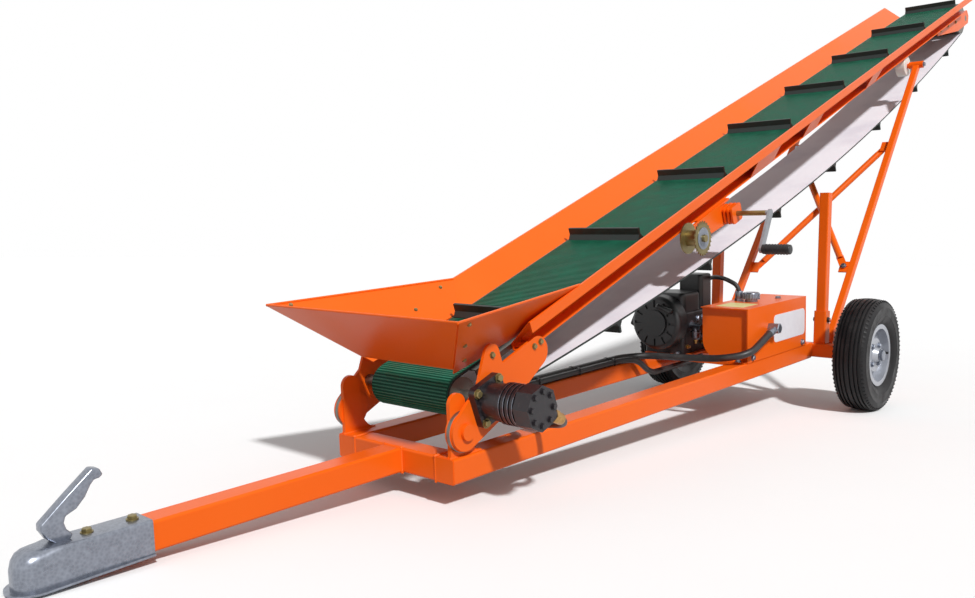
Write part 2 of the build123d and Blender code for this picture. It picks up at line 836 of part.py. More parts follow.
def winch_drum():
    start = winch_face - weld_gap
    end = start - winch_drum_width
    # Columns: diameter, start and end across the machine
    steps = (
        (winch_flange_diameter, start, start - winch_flange), (winch_core_diameter, start, end),
        (winch_flange_diameter, end + winch_flange, end), (winch_nut_diameter, start, end - winch_nut))
    body = None
    for diameter, first, last in steps:
        step = rod((winch_along, first, winch_up), (winch_along, last, winch_up), diameter)
        body = step if body is None else body + step
    return body


def winch_crank():
    start = (crank_along, winch_plate_side + winch_plate, crank_up)
    crank = rod(start, (crank_along, crank_end, crank_up), crank_shaft_diameter)
    half = crank_arm_width / 2
    arm = link((crank_along, crank_up), half, (spindle_along, spindle_up), half)
    crank += plate(arm, crank_end - crank_arm_thickness / 2, crank_end + crank_arm_thickness / 2)
    spindle_end = (spindle_along, crank_end - grip_length, spindle_up)
    return crank + rod((spindle_along, crank_end, spindle_up), spindle_end, spindle_diameter)


def crank_grip():
    start = crank_end - crank_arm_thickness / 2 - weld_gap
    end = start - grip_length
    grip = rod((spindle_along, start, spindle_up), (spindle_along, end, spindle_up), grip_diameter)
    grip = fillet(grip.edges().filter_by(GeomType.CIRCLE), grip_corner)
    bore_end = crank_end - grip_length - weld_gap
    bore = ((spindle_along, start + 1, spindle_up), (spindle_along, bore_end, spindle_up))
    return grip - rod(*bore, spindle_diameter + 2 * weld_gap)


add("winch_frame", belt_frame, winch_frame())
add("winch_drum", belt_frame, winch_drum())
add("winch_crank", belt_frame, winch_crank())
add("crank_grip", belt_frame, crank_grip())


# Lift struts: square tubes hinged behind the axle, with a cross sleeve and a nylon roller on top
def lug_height(sign, high):
    """Which face of the strut pair a lug is on: one brace runs above the other."""
    return 1 if (sign < 0) == (not high) else -1


def strut(sign):
    tube_body = square_tube(strut_size, strut_wall, strut_length + strut_foot - strut_top_gap, strut_corner)
    body = Pos(-strut_foot, sign * strut_offset, 0) * tube_body
    inner = roller_offset + roller_width / 2 + sleeve_gap
    axle_end = roller_offset - roller_width / 2 - roller_washer - side_clearance
    # Columns: inner end and outer end from the middle, diameter
    for start, end, diameter in (
            (inner, strut_offset + sleeve_past, sleeve_diameter), (axle_end, inner, roller_axle_diameter),
            (axle_end, axle_end + roller_washer, roller_axle_diameter + roller_washer_over)):
        body += rod((strut_length, sign * start, 0), (strut_length, sign * end, 0), diameter)
    inner_face = strut_offset - strut_size / 2
    for share, high in ((brace_low_share, False), (brace_high_share, True)):
        face = lug_height(sign, high)
        top = face * (brace_spread - tab_thickness / 2 - weld_gap)
        low, up = sorted((top, top - face * lug_thickness))
        centre = share * strut_length
        body += box(centre - lug_length / 2, centre + lug_length / 2,
                    sign * (inner_face - lug_width), sign * (inner_face + strut_wall / 2), low, up)
    bore = ((0, sign * (strut_offset - strut_size), 0), (0, sign * (strut_offset + strut_size), 0))
    return body - rod(*bore, strut_pin_diameter + 2 * running_clearance)


def brace(face):
    """Tube with flattened ends, from the low lug of one strut to the high lug of the other."""
    start_side = -1 if face > 0 else 1
    lug_centre = strut_offset - strut_size / 2 - lug_width / 2
    start = Vector(brace_low_share * strut_length, start_side * lug_centre, face * brace_spread)
    end = Vector(brace_high_share * strut_length, -start_side * lug_centre, face * brace_spread)
    way = (end - start).normalized()
    reach = (end - start).length
    flat = Plane(origin=start, x_dir=way, z_dir=(0, 0, 1))
    body = rod(start + way * brace_inset, end - way * brace_inset, brace_diameter, brace_wall)
    for centre in (tab_length / 2 - tab_past, reach + tab_past - tab_length / 2):
        body += flat * Pos(centre, 0, 0) * Box(tab_length, brace_diameter + brace_wall, tab_thickness)
    return body


def roller(sign):
    low = sign * (roller_offset - roller_width / 2)
    high = sign * (roller_offset + roller_width / 2)
    ring = Circle(roller_diameter / 2) - Circle(roller_axle_diameter / 2 + weld_gap)
    body = plate(ring, low, high)
    rims = body.edges().filter_by(GeomType.CIRCLE).group_by(SortBy.RADIUS)[-1]
    return Pos(strut_length, 0, 0) * fillet(rims, roller_corner)


def strut_clevis(sign):
    beam = axle_beam_size / 2 + weld_gap
    top = strut_hinge_up + clevis_rise
    back = strut_hinge_back + clevis_rise
    outline = make_face(Polyline(
        (beam, -clevis_low), (beam, clevis_shoulder), (clevis_reach, clevis_shoulder),
        (strut_hinge_back - clevis_rise, top), (back, top), (back, strut_hinge_up - clevis_rise),
        (clevis_reach, -clevis_low), close=True))
    inner = strut_offset - strut_size / 2 - clevis_gap
    outer = strut_offset + strut_size / 2 + clevis_gap
    body = plate(outline, sign * (inner - clevis_plate), sign * inner)
    body += plate(outline, sign * outer, sign * (outer + clevis_plate))
    pin = ((strut_hinge_back, sign * (inner - clevis_plate - pin_past), strut_hinge_up),
           (strut_hinge_back, sign * (outer + clevis_plate + pin_past), strut_hinge_up))
    return body + rod(*pin, strut_pin_diameter)


for side, sign in sides:
    add(f"lift_strut_{side}", strut_frame, strut(sign))
    add(f"track_roller_{side}", strut_frame, roller(sign))
    add(f"strut_clevis_{side}", chassis, strut_clevis(sign))
add("cross_brace_upper", strut_frame, brace(1))
add("cross_brace_lower", strut_frame, brace(-1))


# Oil tank on the left rail: a round-edged tank under a folded cover that overhangs its ends
rail_top = tube_half + weld_gap
tank_right = tank_left + tank_width
tank_top = rail_top + tank_height
filler = Pos(tank_front + filler_along, tank_left + filler_side, tank_top)


def tank_section(inset):
    """Section of the tank in Y and Z, its inner lower edge rounded."""
    low, high = rail_top + inset, tank_top - inset
    left, right = tank_left + inset, tank_right - inset
    section = make_face(Polyline((left, low), (right, low), (right, high), (left, high), close=True))
    return fillet(section.vertices().group_by(Axis.X)[-1].sort_by(Axis.Y)[0], tank_round - inset)


def oil_tank():
    wall = tank_recess + tank_sheet
    body = extrude(Plane.YZ.offset(tank_front + tank_recess) * tank_section(0), tank_length - 2 * tank_recess)
    body -= extrude(Plane.YZ.offset(tank_front + wall) * tank_section(tank_sheet), tank_length - 2 * wall)
    cover = folded([(tank_right, tank_top), (tank_left, tank_top), (tank_left, rail_top)], tank_sheet)
    body += extrude(Plane.YZ.offset(tank_front) * cover, tank_length)
    body -= filler * Cylinder(cap_diameter * 0.3, 4 * tank_sheet)
    body += box(tank_front - tank_foot, tank_front + tank_length + tank_foot, tank_left + tank_foot_inset,
                tank_left + tube - tank_foot_inset, rail_top, rail_top + tank_foot_sheet)
    boss = ((boss_along, tank_left + tank_sheet / 2, boss_up), (boss_along, tank_left - boss_reach, boss_up))
    return body + rod(*boss, boss_diameter)


def tank_cap():
    upright = (Align.CENTER, Align.CENTER, Align.MIN)
    neck = Cylinder(cap_diameter * 0.38, cap_neck + 1, align=upright)
    lid = Pos(0, 0, cap_neck) * Cylinder(cap_diameter / 2, cap_height - cap_neck, align=upright)
    lid = fillet(lid.edges().filter_by(GeomType.CIRCLE), cap_corner)
    return filler * Pos(0, 0, weld_gap) * (neck + lid)


add("oil_tank", chassis, oil_tank())
add("tank_cap", chassis, tank_cap())


# Petrol engine with its pump, on a plate from the right rail to two bars between the rails
engine_floor = rail_top + base_plate + weld_gap
engine = chassis * Pos(engine_centre_back, engine_centre_side, engine_floor)


def engine_base():
    low = engine_centre_back - base_length / 2
    high = engine_centre_back + base_length / 2
    left = engine_centre_side - block_width / 2 - base_margin
    body = box(low, high, left, chassis_width / 2, rail_top, rail_top + base_plate)
    between = chassis_width / 2 - tube - weld_gap
    for start in (low, high - base_bar):
        body += box(start, start + base_bar, -between, between, tube_half - base_bar_depth, tube_half - weld_gap)
        body += box(start, start + base_bar, left, between, tube_half - base_bar_depth, rail_top + 1)
    return body


def rounded_block(length, width, height, corner):
    """Block standing on the floor of its frame, with rounded upright edges and top."""
    body = Box(length, width, height, align=(Align.CENTER, Align.CENTER, Align.MIN))
    body = fillet(body.edges().filter_by(Axis.Z), corner)
    return fillet(body.faces().sort_by(Axis.Z)[-1].edges(), corner * 0.6)


def engine_block():
    """Crankcase with a tilted, finned cylinder."""
    cylinder = rounded_block(cylinder_length, cylinder_width, cylinder_height, cylinder_corner)
    for index in range(fin_count):
        cylinder += Pos(0, 0, fin_start + index * fin_pitch) * Box(fin_length, fin_width, fin_thickness)
    crankcase = rounded_block(block_length, block_width, block_height, block_corner)
    return crankcase + Pos(0, cylinder_side, cylinder_up) * Rot(-cylinder_tilt, 0, 0) * cylinder


def recoil_cover():
    """Round cover with a ring of air slots."""
    upright = (Align.CENTER, Align.CENTER, Align.MIN)
    body = Cylinder(recoil_diameter / 2, recoil_depth, align=upright)
    body = fillet(body.edges().sort_by(Axis.Z)[-1], recoil_corner)
    body += Pos(0, 0, recoil_depth - 1) * Cylinder(recoil_boss_diameter / 2, recoil_boss, align=upright)
    for index in range(slot_count):
        slot = Pos(slot_radius, 0, recoil_depth) * Box(slot_length, slot_width, 2 * slot_depth)
        body -= Rot(0, 0, index * 360 / slot_count) * slot
    return Pos(-block_length / 2 - weld_gap, 0, recoil_up) * Rot(0, -90, 0) * body


def hydraulic_pump():
    upright = (Align.CENTER, Align.CENTER, Align.MIN)
    bell = Rot(0, 90, 0) * Cylinder(pump_bell_diameter / 2, pump_bell, align=upright)
    gear_case = Rot(0, 90, 0) * Cylinder(pump_case_diameter / 2, pump_bell + pump_case, align=upright)
    outlets = ((pump_outlet, 0, -pump_outlet_drop), (pump_outlet, 0, pump_outlet_drop))
    ports = rod(*outlets, pump_outlet_diameter)
    return Pos(block_length / 2 + weld_gap, 0, pump_up) * (bell + gear_case + ports)


deck = block_height + 2 * weld_gap
# Columns: name, length, width, height, corner radius, place along, across and up from the engine's floor
engine_boxes = (
    ("fuel_tank", 128, 150, 70, 22, -29, -4, deck),
    ("air_filter", 84, 96, 128, 16, 82, -30, deck),
    ("muffler", 128, 78, 84, 16, 20, 124, 174.1),
)
add("engine_base", chassis, engine_base())
add("engine_block", engine, engine_block())
add("recoil_cover", engine, recoil_cover())
add("hydraulic_pump", engine, hydraulic_pump())
for name, length, width, height, corner, along, across, up in engine_boxes:
    add(name, engine, Pos(along, across, up) * rounded_block(length, width, height, corner))


# Hoses: along the right rail, to pump and tank, and under the tail drum to the motor
def on_rail(diameter):
    """Height of a hose that lies on the rail."""
    return rail_top + diameter / 2


def motor_port(side, reach):
    """Place on a motor port's axis in the chassis frame."""
    return (chassis.inverse() * belt_frame * Pos(reach, -side, -reach)).position


pump_end = engine_centre_back + block_length / 2 + weld_gap + pump_outlet
pump_low = engine_floor + pump_up - pump_outlet_drop - weld_gap
pump_high = engine_floor + pump_up + pump_outlet_drop + weld_gap
pressure_up = on_rail(pressure_hose_diameter)
return_up = on_rail(return_hose_diameter)
engine_front = engine_centre_back - block_length / 2 - recoil_depth
dive = engine_front - hose_lead
pressure_path = [
    (hose_joint, pressure_hose_side, pressure_up), (dive, pressure_hose_side, pressure_up),
    (dive + hose_dive, hose_dive_side + pressure_hose_diameter, pressure_up),
    (dive + 2 * hose_dive, hose_dive_side, hose_under), (engine_centre_back, hose_dive_side, hose_under),
    (pump_end, engine_centre_side, hose_under), (pump_end, engine_centre_side, pump_low)]
# Columns: along from the tank's front, across, up, where the return hose crosses to the tank
return_bends = (
    (-106, 120, return_up + 2), (-86, -20, return_up + 4), (-78, -150, 54), (-34, -230, 70), (76, -231, 108))
return_path = [
    (hose_joint, return_hose_side, return_up), (engine_front - hose_crossing, return_hose_side, return_up),
    *[(tank_front + along, across, up) for along, across, up in return_bends],
    (boss_along - boss_diameter / 2 - 2 * weld_gap, tank_left - boss_reach + boss_hose_in, boss_up - boss_hose_down)]
# Columns: along from the pump, across from it, up from the tank's top, where the arched hose bends
arch_bends = ((0, 0, 46), (-40, -64, 82), (-78, -138, 82), (-74, -194, 54), (-74, -194, weld_gap))
arch_path = [
    (pump_end, engine_centre_side, pump_high),
    *[(pump_end + along, engine_centre_side + across, tank_top + up) for along, across, up in arch_bends]]
add("pressure_hose", chassis, hose(pressure_path, pressure_hose_diameter))
add("return_hose", chassis, hose(return_path, return_hose_diameter))
add("arched_hose", chassis, hose(arch_path, arch_hose_diameter))
# Columns: name, diameter, place on the rail, how far along the port's axis it crosses, motor port
motor_hoses = (
    ("motor_pressure_hose", pressure_hose_diameter, pressure_hose_side, 148, motor_face + port_places[1]),
    ("motor_return_hose", return_hose_diameter, return_hose_side, 122, motor_face + port_places[0]),
)
for name, diameter, rail_side, reach, port_side in motor_hoses:
    port = motor_port(port_side, port_reach + weld_gap)
    bend = motor_port(port_side, reach)
    up = on_rail(diameter)
    path = [(hose_joint - weld_gap, rail_side, up), (bend.X, rail_side, up + 1), bend, port]
    add(name, chassis, hose(path, diameter))

bounds = Compound(children=[Compound(piece.wrapped) for piece in pieces.values()]).bounding_box()
to_origin = Pos(-bounds.center().X, 0, -bounds.min.Z)

os.makedirs("parts", exist_ok=True)
for name, piece in pieces.items():
    export_step(to_origin * piece, f"parts/{name}.step")
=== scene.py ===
import math

import bmesh
import bpy
from mathutils import Matrix, Vector


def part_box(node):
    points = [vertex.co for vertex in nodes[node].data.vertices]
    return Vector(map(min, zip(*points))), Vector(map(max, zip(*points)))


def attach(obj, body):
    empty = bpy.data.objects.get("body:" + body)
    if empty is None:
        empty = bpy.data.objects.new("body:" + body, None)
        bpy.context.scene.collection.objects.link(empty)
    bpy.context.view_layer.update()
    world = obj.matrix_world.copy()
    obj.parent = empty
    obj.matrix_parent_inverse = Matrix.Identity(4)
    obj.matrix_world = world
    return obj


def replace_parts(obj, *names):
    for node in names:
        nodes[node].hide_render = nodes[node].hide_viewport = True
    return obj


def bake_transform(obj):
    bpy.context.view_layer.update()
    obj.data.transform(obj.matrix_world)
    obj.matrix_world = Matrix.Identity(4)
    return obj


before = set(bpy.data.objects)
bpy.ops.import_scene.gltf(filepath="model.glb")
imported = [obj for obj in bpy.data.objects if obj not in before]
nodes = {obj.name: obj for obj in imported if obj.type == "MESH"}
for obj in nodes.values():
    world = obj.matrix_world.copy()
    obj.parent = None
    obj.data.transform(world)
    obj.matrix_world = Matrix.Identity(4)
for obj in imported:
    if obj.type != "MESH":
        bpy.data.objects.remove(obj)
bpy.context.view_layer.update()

scene = bpy.context.scene


# Chassis: square tubes cut from stock, with the axle beam, posts, sockets and masts welded or bolted on.
# Everything is powder coated in one orange: satin, with a faint peel and paler dust in broad patches.
# The tubes meet in painted-over weld beads, rows of overlapping drops, and the rails' ends are capped.
class Socket:
    """A socket of a material's nodes: arithmetic on it adds Math nodes."""

    def __init__(self, tree, socket):
        self.tree = tree
        self.socket = socket

    def add(self, kind, settings=None, inputs=None, output=0):
        """Any other node: its type, its settings, then the values or links of its sockets."""
        node = self.tree.nodes.new("ShaderNode" + kind)
        for name, value in (settings or {}).items():
            setattr(node, name, value)
        for name, value in (inputs or {}).items():
            if isinstance(value, Socket):
                self.tree.links.new(value.socket, node.inputs[name])
            else:
                node.inputs[name].default_value = value
        return Socket(self.tree, node.outputs[output])

    def math(self, operation, first, second=0.0):
        return self.add("Math", {"operation": operation}, {0: first, 1: second})

    def __add__(self, other):
        return self.math("ADD", self, other)

    __radd__ = __add__

    def __sub__(self, other):
        return self.math("SUBTRACT", self, other)

    def __rsub__(self, other):
        return self.math("SUBTRACT", other, self)

    def __mul__(self, other):
        return self.math("MULTIPLY", self, other)

    __rmul__ = __mul__

    def between(self, low, high):
        """0 below low, 1 above high, and smooth between them."""
        return self.add("MapRange", {"interpolation_type": "SMOOTHSTEP"},
                        {"Value": self, "From Min": low, "From Max": high})

    def noise(self, scale, detail=3.0):
        return self.add("TexNoise", inputs={"Vector": self, "Scale": scale, "Detail": detail})

    def mixed(self, first, second):
        """Colour between two others, with this socket as the share of the second."""
        return self.add("Mix", {"data_type": "RGBA"}, {0: self, 6: first, 7: second}, output=2)

    def bump(self, strength, distance):
        return self.add("Bump", inputs={"Height": self, "Strength": strength, "Distance": distance})


def colour(red, green, blue):
    """Linear colour from 8-bit sRGB values."""
    def linear(value):
        share = value / 255
        return share / 12.92 if share <= 0.04045 else ((share + 0.055) / 1.055) ** 2.4
    return (linear(red), linear(green), linear(blue), 1.0)


def new_finish(name, **fixed):
    """A material with a Principled shader: fixed sockets by name, and its object coordinates."""
    material = bpy.data.materials.new(name)
    material.use_nodes = True
    shader = material.node_tree.nodes["Principled BSDF"]
    for socket, value in fixed.items():
        shader.inputs[socket.replace("_", " ")].default_value = value
    place = Socket(material.node_tree, None).add("TexCoord", output=3)
    return material, place, shader


def feed(shader, **varying):
    """Links what changes over the surface to the shader's sockets."""
    for socket, value in varying.items():
        value.tree.links.new(value.socket, shader.inputs[socket.replace("_", " ")])


def coat_nodes(material, *names):
    """Gives CAD nodes a finish by their material slots."""
    for name in names:
        for slot in nodes[name].material_slots:
            slot.material = material


def pair(name):
    """Names of a piece's left and right nodes."""
    return name + "_left", name + "_right"


def box_of(name):
    """Low and high corner of a CAD node's box, and the middle between them."""
    low, high = [Vector(corner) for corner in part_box(name)]
    return low, high, (low + high) / 2


def around(count, shift=0.0):
    """Cosines and sines of the angles that share out a full turn."""
    turns = [2 * math.pi * (index + shift) / count for index in range(count)]
    return [(math.cos(turn), math.sin(turn)) for turn in turns]


def skin_between(shape, row, following, closed=True):
    """Faces from one row of points to the next, all round or open at the ends."""
    faces = []
    for index in range(len(row) if closed else len(row) - 1):
        after = (index + 1) % len(row)
        faces.append(shape.faces.new([row[index], row[after], following[after], following[index]]))
    return faces


def lathe(profile, steps=24, closed=False):
    """Piece turned about Z from (radius, height) pairs, from axis to axis or as a closed ring."""
    shape = bmesh.new()
    rings = []
    for radius, height in profile:
        circle = around(steps) if radius > 0 else [(1, 0)]
        rings.append([shape.verts.new((radius * x, radius * y, height)) for x, y in circle])
    for low, high in zip(rings, rings[1:] + rings[:1] * closed):
        for index in range(steps):
            after = (index + 1) % steps
            corners = [ring[step % len(ring)] for ring, step in
                       ((low, index), (low, after), (high, after), (high, index))]
            shape.faces.new(list(dict.fromkeys(corners)))
    return shape


def prism(outline, low, high):
    """Straight piece along Z with the given outline in X and Y."""
    shape = bmesh.new()
    bottom = [shape.verts.new((x, y, low)) for x, y in outline]
    top = [shape.verts.new((x, y, high)) for x, y in outline]
    shape.faces.new(bottom)
    shape.faces.new(top)
    skin_between(shape, bottom, top)
    return shape


def rounded(width, height, radius, steps=6):
    """Outline of a rectangle with round corners, about the origin."""
    outline = []
    for index, (x, y) in enumerate(((1, 1), (-1, 1), (-1, -1), (1, -1))):
        for step in range(steps + 1):
            angle = math.pi / 2 * (index + step / steps)
            outline.append((x * (width / 2 - radius) + radius * math.cos(angle),
                            y * (height / 2 - radius) + radius * math.sin(angle)))
    return outline


def joined(*parts):
    """One shape from pairs of a shape and the matrix that places it."""
    whole = bmesh.new()
    for shape, place in parts:
        mesh = bpy.data.meshes.new("part")
        shape.to_mesh(mesh)
        mesh.transform(place)
        whole.from_mesh(mesh)
        bpy.data.meshes.remove(mesh)
    return whole


def facing(point, way):
    """Matrix that puts a piece at a point with its Z along a direction."""
    return Matrix.Translation(point) @ Vector(way).to_track_quat("Z", "Y").to_matrix().to_4x4()


def to_mesh(name, shape, smooth):
    """Mesh with its faces turned outwards, smooth below an angle in degrees."""
    bmesh.ops.recalc_face_normals(shape, faces=shape.faces)
    mesh = bpy.data.meshes.new(name)
    shape.to_mesh(mesh)
    mesh.shade_smooth()
    mesh.set_sharp_from_angle(angle=math.radians(smooth))
    return mesh


def linked(name, data):
    """New object in the scene."""
    thing = bpy.data.objects.new(name, data)
    scene.collection.objects.link(thing)
    return thing


def show(name, mesh, body):
    """Object of a finished mesh that rides on a body."""
    piece = linked(name, mesh)
    if body:
        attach(piece, body)
    return piece


def add_piece(name, shape, material, body, smooth=32):
    """Single piece in one finish."""
    mesh = to_mesh(name, shape, smooth)
    mesh.materials.append(material)
    return show(name, mesh, body)


def repeat_nodes():
    """Geometry nodes that put a piece at every point, turned by the point's own angles."""
    tree = bpy.data.node_groups.new("repeat", "GeometryNodeTree")
    for name, kind in (("Points", "Geometry"), ("Piece", "Object"), ("Finish", "Material")):
        tree.interface.new_socket(name, in_out="INPUT", socket_type="NodeSocket" + kind)
    tree.interface.new_socket("Pieces", in_out="OUTPUT", socket_type="NodeSocketGeometry")
    made = {}
    for name, kind in (
            ("given", "NodeGroupInput"), ("taken", "NodeGroupOutput"),
            ("piece", "GeometryNodeObjectInfo"), ("turn", "GeometryNodeInputNamedAttribute"),
            ("angles", "FunctionNodeEulerToRotation"), ("copies", "GeometryNodeInstanceOnPoints"),
            ("plain", "GeometryNodeRealizeInstances"), ("finish", "GeometryNodeSetMaterial")):
        made[name] = tree.nodes.new(kind)
    made["turn"].data_type = "FLOAT_VECTOR"
    made["turn"].inputs["Name"].default_value = "turn"
    for source, output, target, socket in (
            ("given", "Points", "copies", "Points"), ("given", "Piece", "piece", "Object"),
            ("piece", "Geometry", "copies", "Instance"), ("turn", "Attribute", "angles", "Euler"),
            ("angles", "Rotation", "copies", "Rotation"), ("copies", "Instances", "plain", "Geometry"),
            ("plain", "Geometry", "finish", "Geometry"), ("given", "Finish", "finish", "Material"),
            ("finish", "Geometry", "taken", "Pieces")):
        tree.links.new(made[source].outputs[output], made[target].inputs[socket])
    return tree


repeat_tree = repeat_nodes()


def repeated(name, shape, places, material, body, smooth=32):
    """Copies of a shape at matrices, made by Geometry Nodes and kept as one plain mesh."""
    template = linked(name + ".template", to_mesh(name, shape, smooth))
    points = bpy.data.meshes.new(name + ".points")
    points.from_pydata([place.translation for place in places], [], [])
    turn = points.attributes.new("turn", "FLOAT_VECTOR", "POINT")
    turn.data.foreach_set("vector", [angle for place in places for angle in place.to_euler()])
    holder = linked(name + ".holder", points)
    modifier = holder.modifiers.new("repeat", "NODES")
    modifier.node_group = repeat_tree
    for item, value in (("Piece", template), ("Finish", material)):
        modifier[repeat_tree.interface.items_tree[item].identifier] = value
    seen = bpy.context.evaluated_depsgraph_get()
    mesh = bpy.data.meshes.new_from_object(holder.evaluated_get(seen))
    mesh.name = name
    for thing in (template, holder):
        bpy.data.objects.remove(thing)
    return show(name, mesh, body)


orange_base = colour(242, 100, 14)
orange_dust = colour(242, 112, 36)
orange, place, shader = new_finish("orange_powder_coat", Coat_Roughness=0.2, Specular_IOR_Level=0.18)
dust = place.noise(2.3, 4.0).between(0.45, 0.75)
feed(shader, Base_Color=(dust * 0.35).mixed(orange_base, orange_dust), Roughness=dust * 0.12 + 0.34,
     Coat_Weight=0.08 - dust * 0.04, Normal=place.noise(420.0, 2.0).bump(0.05, 0.001))
coat_nodes(orange, "front_cross_member", "drawbar", "axle_beam", "engine_base", *pair("side_rail"),
           *pair("pivot_post"), *pair("mast_socket"), *pair("mast"), *pair("strut_clevis"))

axle = box_of("axle_beam")[2]
chassis_tilt = math.radians(3.411)
chassis = Matrix.Translation(axle) @ Matrix.Rotation(-chassis_tilt, 4, "Y")
tube_half = 0.030
rail_inner, rail_outer = 0.143, 0.203
chassis_front, post_front, post_back = -1.990, -1.987, -1.891
post_inner, post_outer = 0.182, 0.192
axle_front, axle_low, axle_high, axle_top = -0.025, -0.020, 0.024, 0.026
bead_pitch = 0.005
bead = lathe([(0, -0.001), (0.0042, -0.001), (0.0034, 0.0016), (0, 0.0026)], 7)
# Columns: start and end of the bead in the chassis frame, the way that it faces
bead_lines = []
for up in (1, -1):
    edge = up * tube_half
    bead_lines.append(((chassis_front, -tube_half, edge), (chassis_front, tube_half, edge), (-1, 0, up)))
for side in (-1, 1):
    neck, inner, outer = side * tube_half, side * rail_inner, side * rail_outer
    bead_lines += [
        ((chassis_front, neck, -tube_half), (chassis_front, neck, tube_half), (-1, side, 0)),
        ((chassis_front, inner, tube_half), (chassis_front + 2 * tube_half, inner, tube_half), (0, 0, 1)),
        ((chassis_front, inner, -tube_half), (chassis_front, inner, tube_half), (-1, 0, 0)),
        ((axle_front, inner, axle_top), (axle_front, outer, axle_top), (-1, 0, 1)),
        ((axle_front, outer, axle_low), (axle_front, outer, axle_high), (0, side, 0))]
    for face, out in ((post_inner, -1), (post_outer, 1)):
        bead_lines.append(((post_front, side * face, tube_half), (post_back, side * face, tube_half),
                           (0, side * out, 1)))
bead_places = []
for start, end, way in bead_lines:
    start, end = Vector(start), Vector(end)
    count = int((end - start).length / bead_pitch) + 1
    for index in range(count + 1):
        bead_places.append(chassis @ facing(start.lerp(end, index / count), way))
repeated("weld_beads", bead, bead_places, orange, "chassis", 60)
cap_width, cap_corner = 0.057, 0.005
rail_middle = (rail_inner + rail_outer) / 2
end_cap = prism(rounded(cap_width, cap_width, cap_corner), -0.002, 0.0016)
cap_places = [chassis @ facing((chassis_front, side * rail_middle, 0), (-1, 0, 0)) for side in (-1, 1)]
repeated("rail_end_caps", end_cap, cap_places, orange, "chassis")


# Wheels: ribbed trailer tyres of black rubber on pressed rims in silver lacquer, each held by an axle nut
# under a zinc hub cap. The tread is moulded as ribs round the tyre with short lugs on both shoulders.
def mottled(name, pattern, colours, rough, limits=None, share=None, grain=None, **fixed):
    """Finish between two colours by a noise, which also sets its roughness from a span and a start.

    Limits make the noise patchy, share thins the second colour, grain is a bump's scale and strength.
    """
    material, place, shader = new_finish(name, **fixed)
    patch = place.noise(*pattern)
    if limits:
        patch = patch.between(*limits)
    mask = patch * share if share else patch
    feed(shader, Base_Color=mask.mixed(*[colour(*values) for values in colours]),
         Roughness=patch * rough[0] + rough[1])
    if grain:
        feed(shader, Normal=place.noise(grain[0]).bump(grain[1], 0.001))
    return material


rubber = mottled("tyre_rubber", (26.0, 4.0), ((17, 16, 18), (46, 42, 42)), (0.2, 0.42),
                 limits=(0.4, 0.75), share=0.4, grain=(900.0, 0.08), Specular_IOR_Level=0.3)
silver = mottled("silver_rim_lacquer", (1400.0, 1.0), ((150, 153, 160), (200, 203, 210)), (0.1, 0.26),
                 Metallic=0.6)
coat_nodes(silver, *pair("rim"))
zinc, place, shader = new_finish("zinc_plate", Metallic=0.85)
cells = place.add("TexVoronoi", inputs={"Vector": place, "Scale": 170.0}, output=0)
haze = place.noise(30.0)
feed(shader, Base_Color=(cells * 0.35 + haze * 0.4).mixed(colour(106, 110, 120), colour(172, 178, 190)),
     Roughness=haze * 0.18 + 0.2)

wheel_radius, tread_half, groove_depth = 0.2075, 0.048, 0.006
crown_drop = 0.006
grooves = (0.0095, 0.0245, 0.0375)
groove_half = 0.0024
crown = []
for place_across in grooves:
    for across, depth in ((-1.4, 0), (-1, 1), (1, 1), (1.4, 0)):
        crown.append((place_across + across * groove_half, depth * groove_depth))
crown = [(wheel_radius - crown_drop * (y / tread_half) ** 2 - depth, y) for y, depth in crown]
# Columns: radius, distance from the middle, from the shoulder to the bead
side_wall = [
    (0.2012, 0.0478), (0.1970, 0.0515), (0.1900, 0.0552), (0.1780, 0.0585), (0.1772, 0.0593),
    (0.1742, 0.0594), (0.1734, 0.0590), (0.1580, 0.0600), (0.1480, 0.0592), (0.1474, 0.0598),
    (0.1446, 0.0594), (0.1440, 0.0584), (0.1320, 0.0545), (0.1230, 0.0482), (0.1175, 0.0424),
    (0.1140, 0.0416), (0.1020, 0.0416)]
half_tyre = crown + side_wall
tyre_profile = half_tyre + [(radius, -y) for radius, y in reversed(half_tyre)]
lug = prism([(-0.0032, -0.005), (0.0032, -0.005), (0.0026, 0.005), (-0.0026, 0.005)], -0.003, 0.0016)


def stacked(*turned):
    """One shape from pairs of a turned profile and its number of sides, all on one axis."""
    return joined(*((lathe(profile, steps), Matrix.Identity(4)) for profile, steps in turned))


def hex_bolt(size):
    """Hexagon head on a washer, sized by its thread."""
    # Columns: radius and height, in sizes
    head = ((0, 0.2), (0.92, 0.2), (0.92, 0.74), (0.78, 0.88), (0, 0.88))
    washer = ((0, -0.02), (1.15, -0.02), (1.15, 0.21), (0, 0.21))
    return stacked(*(([(radius * size, height * size) for radius, height in profile], steps)
                     for profile, steps in ((head, 6), (washer, 20))))


bolt, small_bolt = hex_bolt(0.010), hex_bolt(0.007)
lug_count, lug_radius, lug_across = 72, 0.1990, 0.0502
lug_stagger, lug_outward, lug_sideways = 0.25, 0.75, 0.66
wheel_nuts, nut_circle, disc_face = 4, 0.046, 0.0300
hub_end, cap_end = 0.0482, 0.0616
